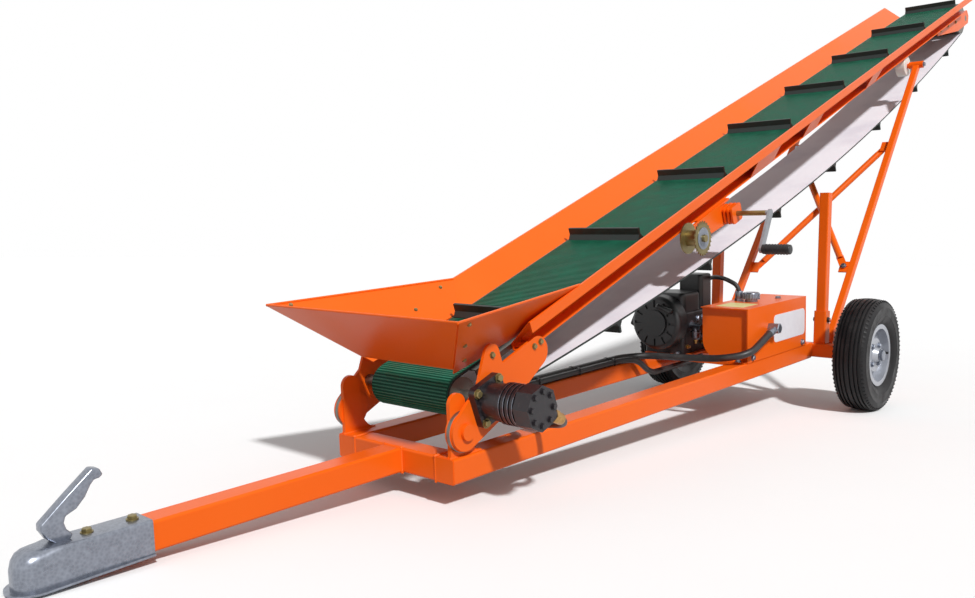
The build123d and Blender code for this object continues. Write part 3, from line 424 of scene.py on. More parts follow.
# Columns: radius and distance from the wheel's middle, the hub cap as a thin shell
cap_profile = [
    (0, cap_end), (0.0165, cap_end), (0.0192, cap_end - 0.0022), (0.0200, cap_end - 0.0080),
    (0.0200, hub_end + 0.004), (0.0228, hub_end + 0.003), (0.0228, hub_end), (0.0169, hub_end),
    (0.0169, cap_end - 0.0010), (0, cap_end - 0.0010)]
valve_profile = [(0, 0), (0.0052, 0), (0.0052, 0.018), (0.004, 0.02), (0.004, 0.034), (0, 0.035)]
valve_place = Matrix.Translation((0.088, 0, 0.013))
for side, out in (("left", -1), ("right", 1)):
    body = "wheel_" + side
    wheel = facing(box_of("tyre_" + side)[2], (0, out, 0))
    tyre = add_piece("ribbed_tyre_" + side, joined((lathe(tyre_profile, 96, True), wheel)), rubber,
                     body)
    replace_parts(tyre, "tyre_" + side)
    lug_places = []
    for near, far in zip(around(lug_count, -lug_stagger), around(lug_count, lug_stagger)):
        for shoulder, (x, y) in ((-1, near), (1, far)):
            outward = Vector((x, y, 0))
            spot = outward * lug_radius + Vector((0, 0, shoulder * lug_across))
            normal = (outward * lug_outward + Vector((0, 0, shoulder * lug_sideways))).normalized()
            tangent = Vector((-y, x, 0))
            axes = Matrix((tangent, normal.cross(tangent), normal)).transposed().to_4x4()
            lug_places.append(wheel @ Matrix.Translation(spot) @ axes)
    repeated("tread_lugs_" + side, lug, lug_places, rubber, body)
    nut_places = [wheel @ Matrix.Translation((nut_circle * x, nut_circle * y, disc_face))
                  for x, y in around(wheel_nuts, 0.5)]
    repeated("wheel_nuts_" + side, bolt, nut_places, zinc, body)
    add_piece("hub_cap_" + side, joined((lathe(cap_profile, 32), wheel)), zinc, body)
    valve = joined((lathe(valve_profile, 14), wheel @ valve_place))
    add_piece("valve_" + side, valve, rubber, body)


# Ball coupling: a pressed steel head with a turned-out lower edge and a lever, zinc plated,
# held on the drawbar by two bolts with yellow-passivated heads.
yellow = mottled("yellow_zinc_plate", (22.0, 3.0), ((112, 98, 60), (160, 146, 102)), (0.2, 0.3),
                 Metallic=0.8)


def eased(shape, width):
    """Rounds a shape's sharp edges."""
    bmesh.ops.recalc_face_normals(shape, faces=shape.faces)
    sharp = [edge for edge in shape.edges if edge.calc_face_angle(0) > math.radians(40)]
    bmesh.ops.bevel(shape, geom=sharp, offset=width, segments=3, profile=0.5, affect="EDGES",
                    clamp_overlap=True)
    return shape


def ring_plate(outer, inner, low, high):
    """Flat plate between two outlines with the same number of points."""
    shape = bmesh.new()
    loops = [[shape.verts.new((x, y, z)) for x, y in outline] for outline, z in
             ((outer, low), (outer, high), (inner, high), (inner, low))]
    for loop, following in zip(loops, loops[1:] + loops[:1]):
        skin_between(shape, loop, following)
    return shape


def head_outline(nose_radius, half_width):
    """Outline of the head's lower edge: round at the nose, straight to the sleeve's end."""
    angles = [math.radians(90 + 15 * index) for index in range(13)]
    nose = [(nose_centre + nose_radius * math.cos(a), nose_radius * math.sin(a)) for a in angles]
    return nose + [(sleeve_end, -half_width), (sleeve_end, half_width)]


nose_centre, sleeve_end = -2.809, -2.609
head_bottom, head_wall, flange_thickness = -0.034, 0.0038, 0.004
# Columns: along, half width, top and edge radius of the head's sections
head_sections = (
    (-2.8470, 0.008, -0.004, 0.006), (-2.8450, 0.015, 0.009, 0.010), (-2.8390, 0.024, 0.022, 0.015),
    (-2.8310, 0.031, 0.030, 0.019), (-2.8200, 0.035, 0.0345, 0.022), (-2.8080, 0.0365, 0.0355, 0.022),
    (-2.7950, 0.0365, 0.0350, 0.017), (-2.7800, 0.0360, 0.0360, 0.011), (-2.7500, 0.0350, 0.0355, 0.008),
    (-2.7000, 0.0342, 0.0343, 0.006), (sleeve_end, 0.0340, 0.0340, 0.005))
skin = bmesh.new()
rows = []
for along, half, top, edge_radius in head_sections:
    outline = [(-half, head_bottom)]
    for index in range(7):
        angle = math.pi * (1 - index / 12)
        outline.append((-half + edge_radius * (1 + math.cos(angle)),
                        top + edge_radius * (math.sin(angle) - 1)))
    outline += [(-y, z) for y, z in reversed(outline)]
    rows.append([skin.verts.new((along, y, z)) for y, z in outline])
for row, following in zip(rows, rows[1:]):
    skin_between(skin, row, following, False)
skin.faces.new(rows[0])
bmesh.ops.recalc_face_normals(skin, faces=skin.faces)
bmesh.ops.solidify(skin, geom=skin.faces[:], thickness=head_wall)
flange = ring_plate(head_outline(0.049, 0.0375), head_outline(0.0345, 0.0325),
                    head_bottom, head_bottom + flange_thickness)
pressed_head = add_piece("pressed_head", joined((skin, chassis), (flange, chassis)), zinc,
                         "chassis", 50)
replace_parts(pressed_head, "coupling_body")
# Columns: along and up of the lever's outline, from its pivot up its front and down its back
lever_outline = (
    (-2.7743, 0.0306), (-2.7911, 0.0444), (-2.8005, 0.0607), (-2.8005, 0.0721), (-2.7532, 0.1124),
    (-2.7072, 0.1500), (-2.6939, 0.1471), (-2.6880, 0.1347), (-2.6952, 0.1296), (-2.7040, 0.1288),
    (-2.7113, 0.1209), (-2.7222, 0.1021), (-2.7386, 0.0851), (-2.7578, 0.0769), (-2.7614, 0.0663),
    (-2.7577, 0.0536), (-2.7475, 0.0428), (-2.7540, 0.0340))
lever_half, lever_edge, lever_shift = 0.012, 0.0032, 0.004
side_axes = Matrix(((1, 0, 0), (0, 0, -1), (0, 1, 0))).to_4x4()
lever = eased(prism(lever_outline, -lever_half, lever_half), lever_edge)
lever_place = chassis @ Matrix.Translation((lever_shift, 0, 0)) @ side_axes
coupling_lever = add_piece("coupling_lever", joined((lever, lever_place)), zinc, "chassis", 50)
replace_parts(coupling_lever, "coupling_handle")
sleeve_top = 0.0343
coupling_bolts = [chassis @ facing((along, 0, sleeve_top), (0, 0, 1)) for along in (-2.716, -2.632)]
repeated("coupling_bolts", bolt, coupling_bolts, yellow, "chassis")


# Pivot: the posts' bosses are faced with wear rings turned from bare steel.
# The tail plates turn against them as the trough is lifted.
steel = mottled("rolled_steel", (9.0, 5.0), ((96, 92, 84), (150, 148, 142)), (0.25, 0.32), Metallic=0.9)
pivot_along, pivot_up, washer_side = -1.953, 0.087, 0.1967
washer = lathe([(0.0462, -0.0046), (0.0474, -0.0040), (0.0474, 0.0040), (0.0462, 0.0046)], 40, True)
washer_places = [chassis @ facing((pivot_along, side * washer_side, pivot_up), (0, side, 0))
                 for side in (-1, 1)]
repeated("pivot_washers", washer, washer_places, steel, "chassis")


# Trough: folded side boards, tail plates and head arms of orange sheet round a bare steel slide bed.
# Tail plates and arms are bolted on, and the bed's steel is polished by the belt.
belt_thickness, drum_gap = 0.006, 0.0002
tail_low, tail_high, tail = box_of("tail_drum")
head_low, head_high, head = box_of("head_drum")
tail_radius = (tail_high.z - tail_low.z) / 2 + drum_gap + belt_thickness
head_radius = (head_high.z - head_low.z) / 2 + drum_gap + belt_thickness
drum_distance = math.sqrt((head - tail).length_squared - (head_radius - tail_radius) ** 2)
drum_slope = math.atan2(head.z - tail.z, head.x - tail.x)
incline = drum_slope + math.atan2(head_radius - tail_radius, drum_distance)
conveyor = Matrix.Translation((tail.x, 0, tail.z)) @ Matrix.Rotation(-incline, 4, "Y")
coat_nodes(orange, *pair("side_board"), *pair("tail_plate"), *pair("head_arm"))
coat_nodes(steel, "tail_drum", "head_drum", "slide_bed")
plate_face, arm_face = 0.2100, 0.1592
# Columns: along and up from the tail drum, distance from the middle of the face that carries the bolt
trough_bolts = [
    (0.056, 0.086, plate_face), (0.200, 0.0345, plate_face), (0.226, 0.0345, plate_face),
    (3.790, 0.004, arm_face), (3.920, 0.000, arm_face), (4.060, -0.010, arm_face)]
trough_places = []
for along, up, face in trough_bolts:
    for side in (-1, 1):
        trough_places.append(conveyor @ facing((along, side * face, up), (0, side, 0)))
repeated("trough_bolts", small_bolt, trough_places, yellow, "conveyor")


# Belt: an endless band of two plies, green rubber outside with fine moulded cross ribs and pale woven
# fabric inside, with dark rubber cleats vulcanised on. The return run hangs in one shallow arc.
green = mottled("green_belt_rubber", (14.0, 5.0), ((5, 58, 42), (16, 78, 58)), (0.15, 0.5),
                limits=(0.42, 0.78), share=0.7, grain=(700.0, 0.08), Specular_IOR_Level=0.12)
# The ribs are a lighter green than the belt face: a painted highlight on the rib tops, where the sun
# catches them.
rib_painted_highlight = mottled("rib_rubber_painted_highlight", (22.0, 4.0), ((12, 92, 68), (36, 116, 90)), (0.15, 0.42),
                 limits=(0.4, 0.75), share=0.7, Specular_IOR_Level=0.3)
fabric, place, shader = new_finish("belt_fabric")
weave = place.noise(1500.0, 1.0)
smudge = place.noise(5.0, 5.0).between(0.4, 0.8)
feed(shader, Base_Color=(smudge * 0.6).mixed(colour(244, 240, 246), colour(216, 210, 222)),
     Roughness=weave * 0.1 + 0.75, Normal=weave.bump(0.1, 0.001))
dark_green = mottled("cleat_rubber", (60.0, 4.0), ((10, 22, 19), (24, 44, 38)), (0.15, 0.5),
                     limits=(0.45, 0.75), share=0.6)
belt_half, cleat_half = 0.133, 0.128
arc_radius = 17.5
rise = tail_radius - head_radius
span = math.hypot(drum_distance, rise)
tail_gap, head_gap = arc_radius - tail_radius, arc_radius - head_radius
along = (span ** 2 + tail_gap ** 2 - head_gap ** 2) / (2 * span)
away = math.sqrt(tail_gap ** 2 - along ** 2)
turn = math.atan2(rise, drum_distance)
arc_centre = Vector((along * math.cos(turn) - away * math.sin(turn),
                     along * math.sin(turn) + away * math.cos(turn)))
quarter = math.pi / 2
tail_way = math.atan2(-arc_centre.y, -arc_centre.x)
head_way = math.atan2(rise - arc_centre.y, drum_distance - arc_centre.x)
# Columns: centre, radius, start angle and end angle of the belt's arcs after its carrying run
belt_arcs = (
    (Vector((drum_distance, rise)), head_radius, quarter, head_way),
    (arc_centre, arc_radius, head_way, tail_way),
    (Vector((0, 0)), tail_radius, tail_way, -3 * quarter))
arc_lengths = [radius * abs(end - start) for _, radius, start, end in belt_arcs]
belt_length = drum_distance + sum(arc_lengths)


def on_belt(length):
    """Place and outward angle on the belt's outer face, a length along from the top of the tail drum."""
    length %= belt_length
    if length <= drum_distance:
        return Vector((length, tail_radius)), quarter
    length -= drum_distance
    for (centre, radius, start, end), run in zip(belt_arcs, arc_lengths):
        if length <= run:
            angle = start + (end - start) * length / run
            return centre + Vector((math.cos(angle), math.sin(angle))) * radius, angle
        length -= run
    return Vector((0, tail_radius)), quarter


def belt_place(length):
    """Matrix on the belt's outer face: X along the run, Y outwards, Z across the belt."""
    spot, angle = on_belt(length)
    outward = Vector((math.cos(angle), 0, math.sin(angle)))
    across = Vector((0, -1, 0))
    forward = outward.cross(across)
    axes = Matrix((forward, outward, across)).transposed().to_4x4()
    return conveyor @ Matrix.Translation((spot.x, 0, spot.y)) @ axes


stops = [0.0, drum_distance / 2]
start = drum_distance
for run, count in zip(arc_lengths, (20, 40, 20)):
    stops += [start + run * index / count for index in range(count)]
    start += run
band_corners = (
    (0, belt_half), (0, -belt_half), (-belt_thickness, -belt_half), (-belt_thickness, belt_half))
band = bmesh.new()
sections = []
for length in stops:
    place_here = belt_place(length)
    sections.append([band.verts.new(place_here @ Vector((0, up, across))) for up, across in band_corners])
for section, following in zip(sections, sections[1:] + sections[:1]):
    for face, finish in zip(skin_between(band, section, following), (0, 2, 1, 2)):
        face.material_index = finish
band_mesh = to_mesh("belt_band", band, 40)
for material in (green, fabric, dark_green):
    band_mesh.materials.append(material)
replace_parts(show("belt_band", band_mesh, "conveyor"), "belt")
rib_pitch, rib_half, rib_rise = 0.0080, 0.0016, 0.0017
rib_foot, rib_sink, rib_margin = rib_half * 1.3, 0.0004, 0.003
rib = prism([(-rib_foot, -rib_sink), (rib_foot, -rib_sink), (rib_half, rib_rise), (-rib_half, rib_rise)],
            -belt_half + rib_margin, belt_half - rib_margin)
rib_count = int(belt_length / rib_pitch)
rib_places = [belt_place(belt_length * index / rib_count) for index in range(rib_count)]
repeated("belt_ribs", rib, rib_places, rib_painted_highlight, "conveyor")
cleat_count, cleat_start = 16, 0.850
cleat_outline = [(0.015, -0.003), (0.015, 0.002), (0.004, 0.016), (0.004, 0.036)]
cleat = prism(cleat_outline + [(-x, y) for x, y in reversed(cleat_outline)], -cleat_half, cleat_half)
cleat_places = [belt_place(cleat_start + belt_length * index / cleat_count)
                for index in range(cleat_count)]
repeated("belt_cleats", cleat, cleat_places, dark_green, "conveyor")


# Feed hopper: a front panel and two wings of orange sheet, bolted along their seams.
# The upper edges are hemmed, folded over flat for a safe rim.
coat_nodes(orange, "hopper_front", *pair("hopper_wing"))
sheet = 0.003
mouth = Vector((-0.014, 0.140, 0.068))
rim = Vector((-0.129, 0.334, 0.269))
rear = Vector((0.404, 0.224, 0.1076))


def hem(start, end, drop, thickness):
    """Folded edge between two points: a flat fold with a round back that hangs by a vector."""
    way = (end - start).normalized()
    down = drop.normalized()
    out = way.cross(down)
    steps, bulge = 8, 0.9
    outline = []
    for index in range(steps + 1):
        angle = math.pi * index / steps
        outline.append((-thickness * math.cos(angle), thickness * math.sin(angle) * bulge))
    outline += [(thickness, -drop.length), (-thickness, -drop.length)]
    axes = Matrix((out, -down, way)).transposed().to_4x4()
    return prism(outline, 0, (end - start).length), conveyor @ Matrix.Translation(start) @ axes


hem_drop, hem_half = 0.004, 0.0026
hems = []
front_drop = (Vector((mouth.x, 0, mouth.z)) - Vector((rim.x, 0, rim.z))).normalized() * hem_drop
hems.append(hem(Vector((rim.x, -rim.y, rim.z)), rim, front_drop, hem_half))
for side in (-1, 1):
    flip = Vector((1, side, 1))
    wing_drop = ((mouth - (rim + rear) / 2) * flip).normalized() * hem_drop
    hems.append(hem(rear * flip, rim * flip, wing_drop, hem_half))
add_piece("hopper_hems", joined(*hems), orange, "conveyor")
# Columns: share up the front seam, share towards the rear, whether the head is outside
wing_bolts = (
    (0.16, 0.07, 1), (0.48, 0.06, 1), (0.86, 0.07, 1), (0.86, 0.09, 0), (0.05, 0.56, 0), (0.03, 0.86, 0))
hopper_places = []
for side in (-1, 1):
    flip = Vector((1, side, 1))
    across = (rear - mouth).cross(rim - mouth).normalized() * flip
    inward = across if across.z > 0 else -across
    for seam, back, outside in wing_bolts:
        spot = (mouth + (rim - mouth) * seam + (rear - mouth) * back) * flip
        way = -inward if outside else inward
        hopper_places.append(conveyor @ facing(spot + way * sheet * outside, way))
repeated("hopper_bolts", hex_bolt(0.005), hopper_places, yellow, "conveyor")


# Hydraulic motor: a cast iron body with ring plates and an octagonal cap, painted black,
# bolted to the tail plate, with brass-coloured unions in its two ports.
iron = mottled("black_iron_paint", (120.0, 4.0), ((30, 26, 30), (74, 64, 66)), (0.2, 0.36),
               limits=(0.55, 0.72), share=0.4, grain=(520.0, 0.1))
coat_nodes(iron, "hydraulic_motor", "muffler")
brass = mottled("brass_union", (160.0, 3.0), ((150, 108, 58), (202, 166, 104)), (0.2, 0.26), Metallic=0.9)
motor_face, motor_flange, motor_length = 0.2102, 0.018, 0.165
motor_square, screw_circle, screw_count = 0.038, 0.038, 8
ring_depths = (0.0783, 0.0913, 0.1043, 0.1173)
leftward = (0, -1, 0)
motor_front, motor_end = -motor_face - motor_flange, -motor_face - motor_length
motor_places = [conveyor @ facing((x * motor_square, motor_front, z * motor_square), leftward)
                for x in (-1, 1) for z in (-1, 1)]
repeated("motor_bolts", bolt, motor_places, yellow, "conveyor")
cap_screws = [conveyor @ facing((screw_circle * x, motor_end, screw_circle * z), leftward)
              for x, z in around(screw_count, 0.5)]
repeated("motor_cap_screws", small_bolt, cap_screws, iron, "conveyor")
ring_edge = lathe([(0.0470, -0.0007), (0.0485, -0.0007), (0.0485, 0.0007), (0.0470, 0.0007)], 40, True)
ring_edges = [conveyor @ facing((0, -motor_face - depth, 0), leftward) for depth in ring_depths]
repeated("motor_ring_edges", ring_edge, ring_edges, zinc, "conveyor")
union = stacked(
    ([(0, 0), (0.0165, 0), (0.0165, 0.013), (0.0145, 0.015), (0, 0.015)], 6),
    ([(0, 0.012), (0.0142, 0.012), (0.0142, 0.030), (0.0132, 0.034), (0, 0.034)], 20))
port_way = Vector((1, 0, -1)).normalized()
port_face, port_places = 0.048, (0.044, 0.143)
union_places = [conveyor @ facing((port_face, -motor_face - side, -port_face), port_way)
                for side in port_places]
repeated("motor_unions", union, union_places, brass, "conveyor")


# Hand winch: an orange bracket under the trough with a cable drum and crank in yellow zinc.
# The drum's outer flange carries ratchet teeth and a zinc hub disc. The crank's arm is bare steel
# and ends in a black ribbed grip.
coat_nodes(orange, "winch_frame")
coat_nodes(yellow, "winch_drum")
crank, place, shader = new_finish("crank_plate", Metallic=0.8)
tint = place.noise(22.0, 3.0)
arm = (place.add("SeparateXYZ", inputs={"Vector": place}, output=1) * -1).between(0.336, 0.341)
plated = tint.mixed(colour(118, 96, 52), colour(166, 146, 96))
bare = tint.mixed(colour(120, 122, 126), colour(176, 178, 184))
feed(shader, Base_Color=arm.mixed(plated, bare), Roughness=tint * 0.2 + 0.26)
coat_nodes(crank, "winch_crank")
black = mottled("black_moulding", (800.0, 3.0), ((18, 18, 19), (32, 31, 33)), (0.1, 0.36),
                grain=(800.0, 0.08))
coat_nodes(black, "crank_grip", "fuel_tank", "air_filter", "recoil_cover")
winch_along, flange_side, disc_side = 0.980, -0.2542, -0.2562
winch_centre = Vector((winch_along, flange_side, 0))
tooth_count, flange_radius = 24, 0.047
tooth = prism([(-0.0052, -0.003), (0.0052, -0.003), (0.0040, 0.0056)], -0.002, 0.002)
tooth_places = []
for x, z in around(tooth_count):
    outward = Vector((x, 0, z))
    axes = Matrix((outward.cross(Vector(leftward)), outward, leftward)).transposed().to_4x4()
    tooth_places.append(conveyor @ Matrix.Translation(winch_centre + outward * flange_radius) @ axes)
repeated("ratchet_teeth", tooth, tooth_places, yellow, "conveyor")
hub_disc = lathe([(0, -0.0003), (0.033, -0.0003), (0.033, 0.0016), (0.030, 0.0024), (0.013, 0.0024),
                  (0.013, 0.0016), (0, 0.0016)], 32)
disc_place = conveyor @ facing((winch_along, disc_side, 0), leftward)
add_piece("winch_hub_disc", joined((hub_disc, disc_place)), zinc, "conveyor")
grip_low, grip_high, grip_centre = box_of("crank_grip")
grip_radius = (grip_high.x - grip_low.x) / 2
ring_foot, ring_crest = grip_radius - 0.001, grip_radius + 0.0014
ring_count, ring_start, ring_pitch = 8, 0.012, 0.0094
ring = lathe([(ring_foot, -0.0022), (ring_crest, -0.0012), (ring_crest, 0.0012), (ring_foot, 0.0022)],
             28, True)
ring_sides = [grip_low.y + ring_start + index * ring_pitch for index in range(ring_count)]
ring_places = [facing((grip_centre.x, side, grip_centre.z), (0, 1, 0)) for side in ring_sides]
repeated("grip_rings", ring, ring_places, black, "conveyor")


# Lift: two struts of square tube, hinged behind the axle and tied by crossed braces with bolted flat ends.
# Each has a turned white nylon roller on a cross axle at its top. The masts are bolted in their sockets.
coat_nodes(orange, *pair("lift_strut"), "cross_brace_upper", "cross_brace_lower")
nylon = mottled("white_nylon", (60.0, 3.0), ((216, 212, 202), (240, 238, 232)), (0.2, 0.35),
                Subsurface_Weight=0.1)
coat_nodes(nylon, *pair("track_roller"))
strut_hinge = chassis @ Vector((0.097, 0, 0.030))
roller = box_of("track_roller_left")[2]
strut_way = Vector((roller.x - strut_hinge.x, 0, roller.z - strut_hinge.z))
strut_length = strut_way.length
strut_tilt = math.atan2(strut_way.z, strut_way.x)
lift = Matrix.Translation((strut_hinge.x, 0, strut_hinge.z)) @ Matrix.Rotation(-strut_tilt, 4, "Y")
brace_side, brace_up, roller_side = 0.195, 0.0175, 0.253
brace_low, brace_high = 0.227, 0.674
lift_places = []
for face in (-1, 1):
    for share, side in ((brace_low, -face), (brace_high, face)):
        spot = (share * strut_length, side * brace_side, face * brace_up)
        lift_places.append(lift @ facing(spot, (0, 0, face)))
for side in (-1, 1):
    lift_places.append(lift @ facing((strut_length, side * roller_side, 0), (0, side, 0)))
repeated("lift_bolts", bolt, lift_places, zinc, "lift_struts")
bolt_drop, socket_face = 0.034, 0.023
mast_places = []
for mast, socket in zip(pair("mast"), pair("mast_socket")):
    middle = box_of(mast)[2]
    bolt_up = box_of(socket)[1].z - bolt_drop
    for end in (-1, 1):
        mast_places.append(facing((middle.x, middle.y + end * socket_face, bolt_up), (0, end, 0)))
repeated("mast_bolts", bolt, mast_places, iron, "chassis")


# Oil tank: folded and welded sheet under an overhanging cover, in the same orange, with a plated cap.
# A blank white plate is fixed on its side and a pale blank label lies on its top.
coat_nodes(orange, "oil_tank")
coat_nodes(zinc, "tank_cap")
white = mottled("white_plate", (40.0, 3.0), ((226, 222, 228), (240, 238, 242)), (0.1, 0.3))
cream = mottled("cream_label", (60.0, 3.0), ((222, 206, 128), (238, 226, 160)), (0.1, 0.4))
tank_left, tank_top, foot_top = -0.206, 0.2162, 0.0352
plate_length, plate_height, plate_corner = 0.264, 0.098, 0.018
plate = prism(rounded(plate_length, plate_height, plate_corner), -0.0004, 0.0012)
plate_place = chassis @ Matrix.Translation((-0.232, tank_left, 0.124)) @ side_axes
add_piece("blank_plate", joined((plate, plate_place)), white, "chassis")
label_length, label_width, label_corner = 0.120, 0.104, 0.004
label = prism(rounded(label_length, label_width, label_corner, 2), -0.0003, 0.0006)
label_place = chassis @ Matrix.Translation((-0.470, -0.118, tank_top))
add_piece("blank_label", joined((label, label_place)), cream, "chassis")
upward = (0, 0, 1)
# Columns: place of the bolt in the chassis frame, the way that it points
tank_bolts = (
    ((-0.206, -0.150, tank_top), upward),
    ((-0.576, -0.176, foot_top), upward), ((-0.076, -0.176, foot_top), upward),
    ((-0.530, tank_left, 0.046), leftward), ((-0.122, tank_left, 0.046), leftward))
tank_places = [chassis @ facing(spot, way) for spot, way in tank_bolts]
repeated("tank_bolts", bolt, tank_places, zinc, "chassis")
_, cap_high, cap_centre = box_of("tank_cap")
cap_up = chassis.to_3x3() @ Vector(upward)
knurl_count, knurl_circle, knurl_drop = 20, 0.0284, 0.016
knurl = lathe([(0, -0.010), (0.0022, -0.010), (0.0022, 0.010), (0, 0.010)], 8)
cap_axis = Vector((cap_centre.x, cap_centre.y, cap_high.z - knurl_drop))
knurl_places = []
for x, y in around(knurl_count):
    spot = chassis.to_3x3() @ Vector((knurl_circle * x, knurl_circle * y, 0))
    knurl_places.append(facing(cap_axis + spot, cap_up))
repeated("cap_knurls", knurl, knurl_places, zinc, "chassis")


# Engine: a small petrol engine of dark cast aluminium with black plastic covers, bolted on its plate.
# The carburettor's bare metal, plug boot, starter grip and exhaust guard are fitted round it.
aluminium = mottled("dark_aluminium", (24.0, 4.0), ((46, 44, 46), (24, 23, 24)), (0.2, 0.4),
                    limits=(0.35, 0.8), grain=(640.0, 0.12), Metallic=0.4)
coat_nodes(aluminium, "engine_block", "hydraulic_pump")
engine = chassis @ Matrix.Translation((-0.454, 0.130, 0.0364))
bowl = lathe([(0, -0.020), (0.009, -0.020), (0.015, -0.014), (0.016, 0.006), (0.019, 0.008),
              (0.019, 0.012), (0.012, 0.014), (0.012, 0.030), (0, 0.030)], 20)
throat = lathe([(0, -0.034), (0.016, -0.034), (0.016, -0.028), (0.012, -0.026), (0.012, 0.022),
                (0.018, 0.024), (0.018, 0.030), (0, 0.030)], 20)
bowl_along, bowl_side, case_side = -0.048, -0.104, -0.082
carburettor = joined((bowl, engine @ Matrix.Translation((bowl_along, bowl_side, 0.070))),
                     (throat, engine @ facing((bowl_along, bowl_side, 0.098), (0.25, 1, 0.1))))
add_piece("carburettor", carburettor, zinc, "chassis")
drain = lathe([(0, 0), (0.008, 0), (0.008, 0.006), (0.005, 0.007), (0.005, 0.014), (0, 0.014)], 6)
# Columns: place of the plug in the engine's frame, the way that it points
drain_plugs = (((bowl_along, bowl_side, 0.050), (0, 0, -1)), ((-0.074, case_side, 0.026), leftward),
               ((0.030, case_side, 0.030), leftward))
drain_places = [engine @ facing(spot, way) for spot, way in drain_plugs]
repeated("engine_plugs", drain, drain_places, brass, "chassis")
case_bolts = [engine @ facing((x, case_side, z), leftward)
              for x in (0.002, 0.040) for z in (0.056, 0.122)]
case_bolts += [engine @ facing((x, -0.060, 0.0), upward) for x in (-0.101, 0.101)]
repeated("engine_bolts", bolt, case_bolts, zinc, "chassis")
boot = lathe([(0, 0), (0.013, 0), (0.013, 0.012), (0.009, 0.016), (0.009, 0.028), (0.0085, 0.034),
              (0, 0.034)], 18)
cylinder_lean, cylinder_length = math.radians(65), 0.100
cylinder_foot, plug_shift = Vector((0, 0.060, 0.090)), Vector((0.025, 0, 0))
cylinder_way = Vector((0, math.sin(cylinder_lean), math.cos(cylinder_lean)))
cylinder_end = cylinder_foot + cylinder_way * cylinder_length
boot_place = engine @ facing(cylinder_end + plug_shift, cylinder_way)
add_piece("plug_boot", joined((boot, boot_place)), black, "chassis")
grip = lathe([(0, -0.032), (0.007, -0.032), (0.0105, -0.026), (0.0085, -0.006), (0.0085, 0.006),
              (0.0105, 0.026), (0.007, 0.032), (0, 0.032)], 16)
stem = lathe([(0, -0.016), (0.0065, -0.016), (0.0045, 0.004), (0, 0.004)], 12)
grip_place = engine @ facing((-0.178, -0.052, 0.172), (0, 1, 0.35))
stem_place = engine @ facing((-0.170, -0.052, 0.172), (-1, 0, 0))
starter_grip = joined((grip, grip_place), (stem, stem_place))
add_piece("starter_grip", starter_grip, black, "chassis")
guard_bar = prism(rounded(0.108, 0.0060, 0.0026, 3), 0, 0.0026)
bar_count, bar_pitch = 6, 0.0115
guard_along, guard_side, guard_low = 0.020, 0.163, 0.186
bar_axes = Matrix(((1, 0, 0), (0, 0, 1), (0, 1, 0))).to_4x4()
guard_places = []
for index in range(bar_count):
    spot = (guard_along, guard_side, guard_low + index * bar_pitch)
    guard_places.append(engine @ Matrix.Translation(spot) @ bar_axes)
repeated("exhaust_guard", guard_bar, guard_places, steel, "chassis")


# Hoses: black rubber with crimped steel ferrules, strapped along the right rail with nylon ties.
# The two motor hoses hang free under the tail.
hose_rubber = mottled("hose_rubber", (34.0, 4.0), ((30, 28, 29), (66, 60, 58)), (0.15, 0.42),
                      limits=(0.4, 0.75), share=0.5, grain=(900.0, 0.06))
coat_nodes(hose_rubber, "pressure_hose", "return_hose", "arched_hose")


def tube(points, radius, steps=18):
    """Round hose along the smooth line that a few points lead."""
    line = bpy.data.curves.new("hose_line", "CURVE")
    line.dimensions = "3D"
    line.resolution_u = 14
    spline = line.splines.new("NURBS")
    spline.points.add(len(points) - 1)
    for control, spot in zip(spline.points, points):
        control.co = (*spot, 1)
    spline.order_u = 3
    spline.use_endpoint_u = True
    holder = linked("hose_line", line)
    seen = bpy.context.evaluated_depsgraph_get()
    line_mesh = bpy.data.meshes.new_from_object(holder.evaluated_get(seen))
    path = [vertex.co.copy() for vertex in line_mesh.vertices]
    bpy.data.objects.remove(holder)
    shape = bmesh.new()
    rings = []
    side = Vector((0, 0, 1))
    for index, spot in enumerate(path):
        way = (path[min(index + 1, len(path) - 1)] - path[max(index - 1, 0)]).normalized()
        side = (side - way * side.dot(way)).normalized()
        other = way.cross(side)
        spokes = [side * x + other * y for x, y in around(steps)]
        rings.append([shape.verts.new(spot + spoke * radius) for spoke in spokes])
    for ring, following in zip(rings, rings[1:]):
        skin_between(shape, ring, following)
    shape.faces.new(rings[0])
    shape.faces.new(rings[-1])
    return shape


hose_joint, hose_rise, port_inside = -1.540, 0.001, 0.052
pressure_side, pressure_up = 0.156, 0.0402
return_side, return_up = 0.184, 0.0422
# Columns: node, radius, side and height on the rail, how far along the port's axis it crosses, motor port
motor_hoses = (("motor_pressure_hose", 0.010, pressure_side, pressure_up, 0.148, port_places[1]),
               ("motor_return_hose", 0.012, return_side, return_up, 0.122, port_places[0]))
for node, radius, side, up, reach, port in motor_hoses:
    port_end = conveyor @ Vector((port_inside, -motor_face - port, -port_inside))
    bend = conveyor @ Vector((reach, -motor_face - port, -reach))
    bend_along = (chassis.inverted() @ bend).x
    points = [chassis @ Vector((hose_joint, side, up)),
              chassis @ Vector((bend_along, side, up + hose_rise)), bend, port_end]
    mesh = to_mesh("soft_" + node, tube(points, radius), 60)
    mesh.materials.append(hose_rubber)
    hose = show("soft_" + node, mesh, None)
    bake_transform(hose)
    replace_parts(hose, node)
ferrule = stacked(
    ([(0, 0), (0.0160, 0), (0.0160, 0.010), (0.0138, 0.012), (0, 0.012)], 6),
    ([(0, 0.011), (0.0135, 0.011), (0.0142, 0.014), (0.0142, 0.034), (0.0130, 0.037), (0, 0.037)], 20))
pump_along, pump_side, rail_ferrule = -0.2718, 0.130, hose_joint - 0.018
tank_end, tank_bend = Vector((-0.4134, -0.226, 0.129)), Vector((-0.490, -0.231, 0.108))
rearward = (1, 0, 0)
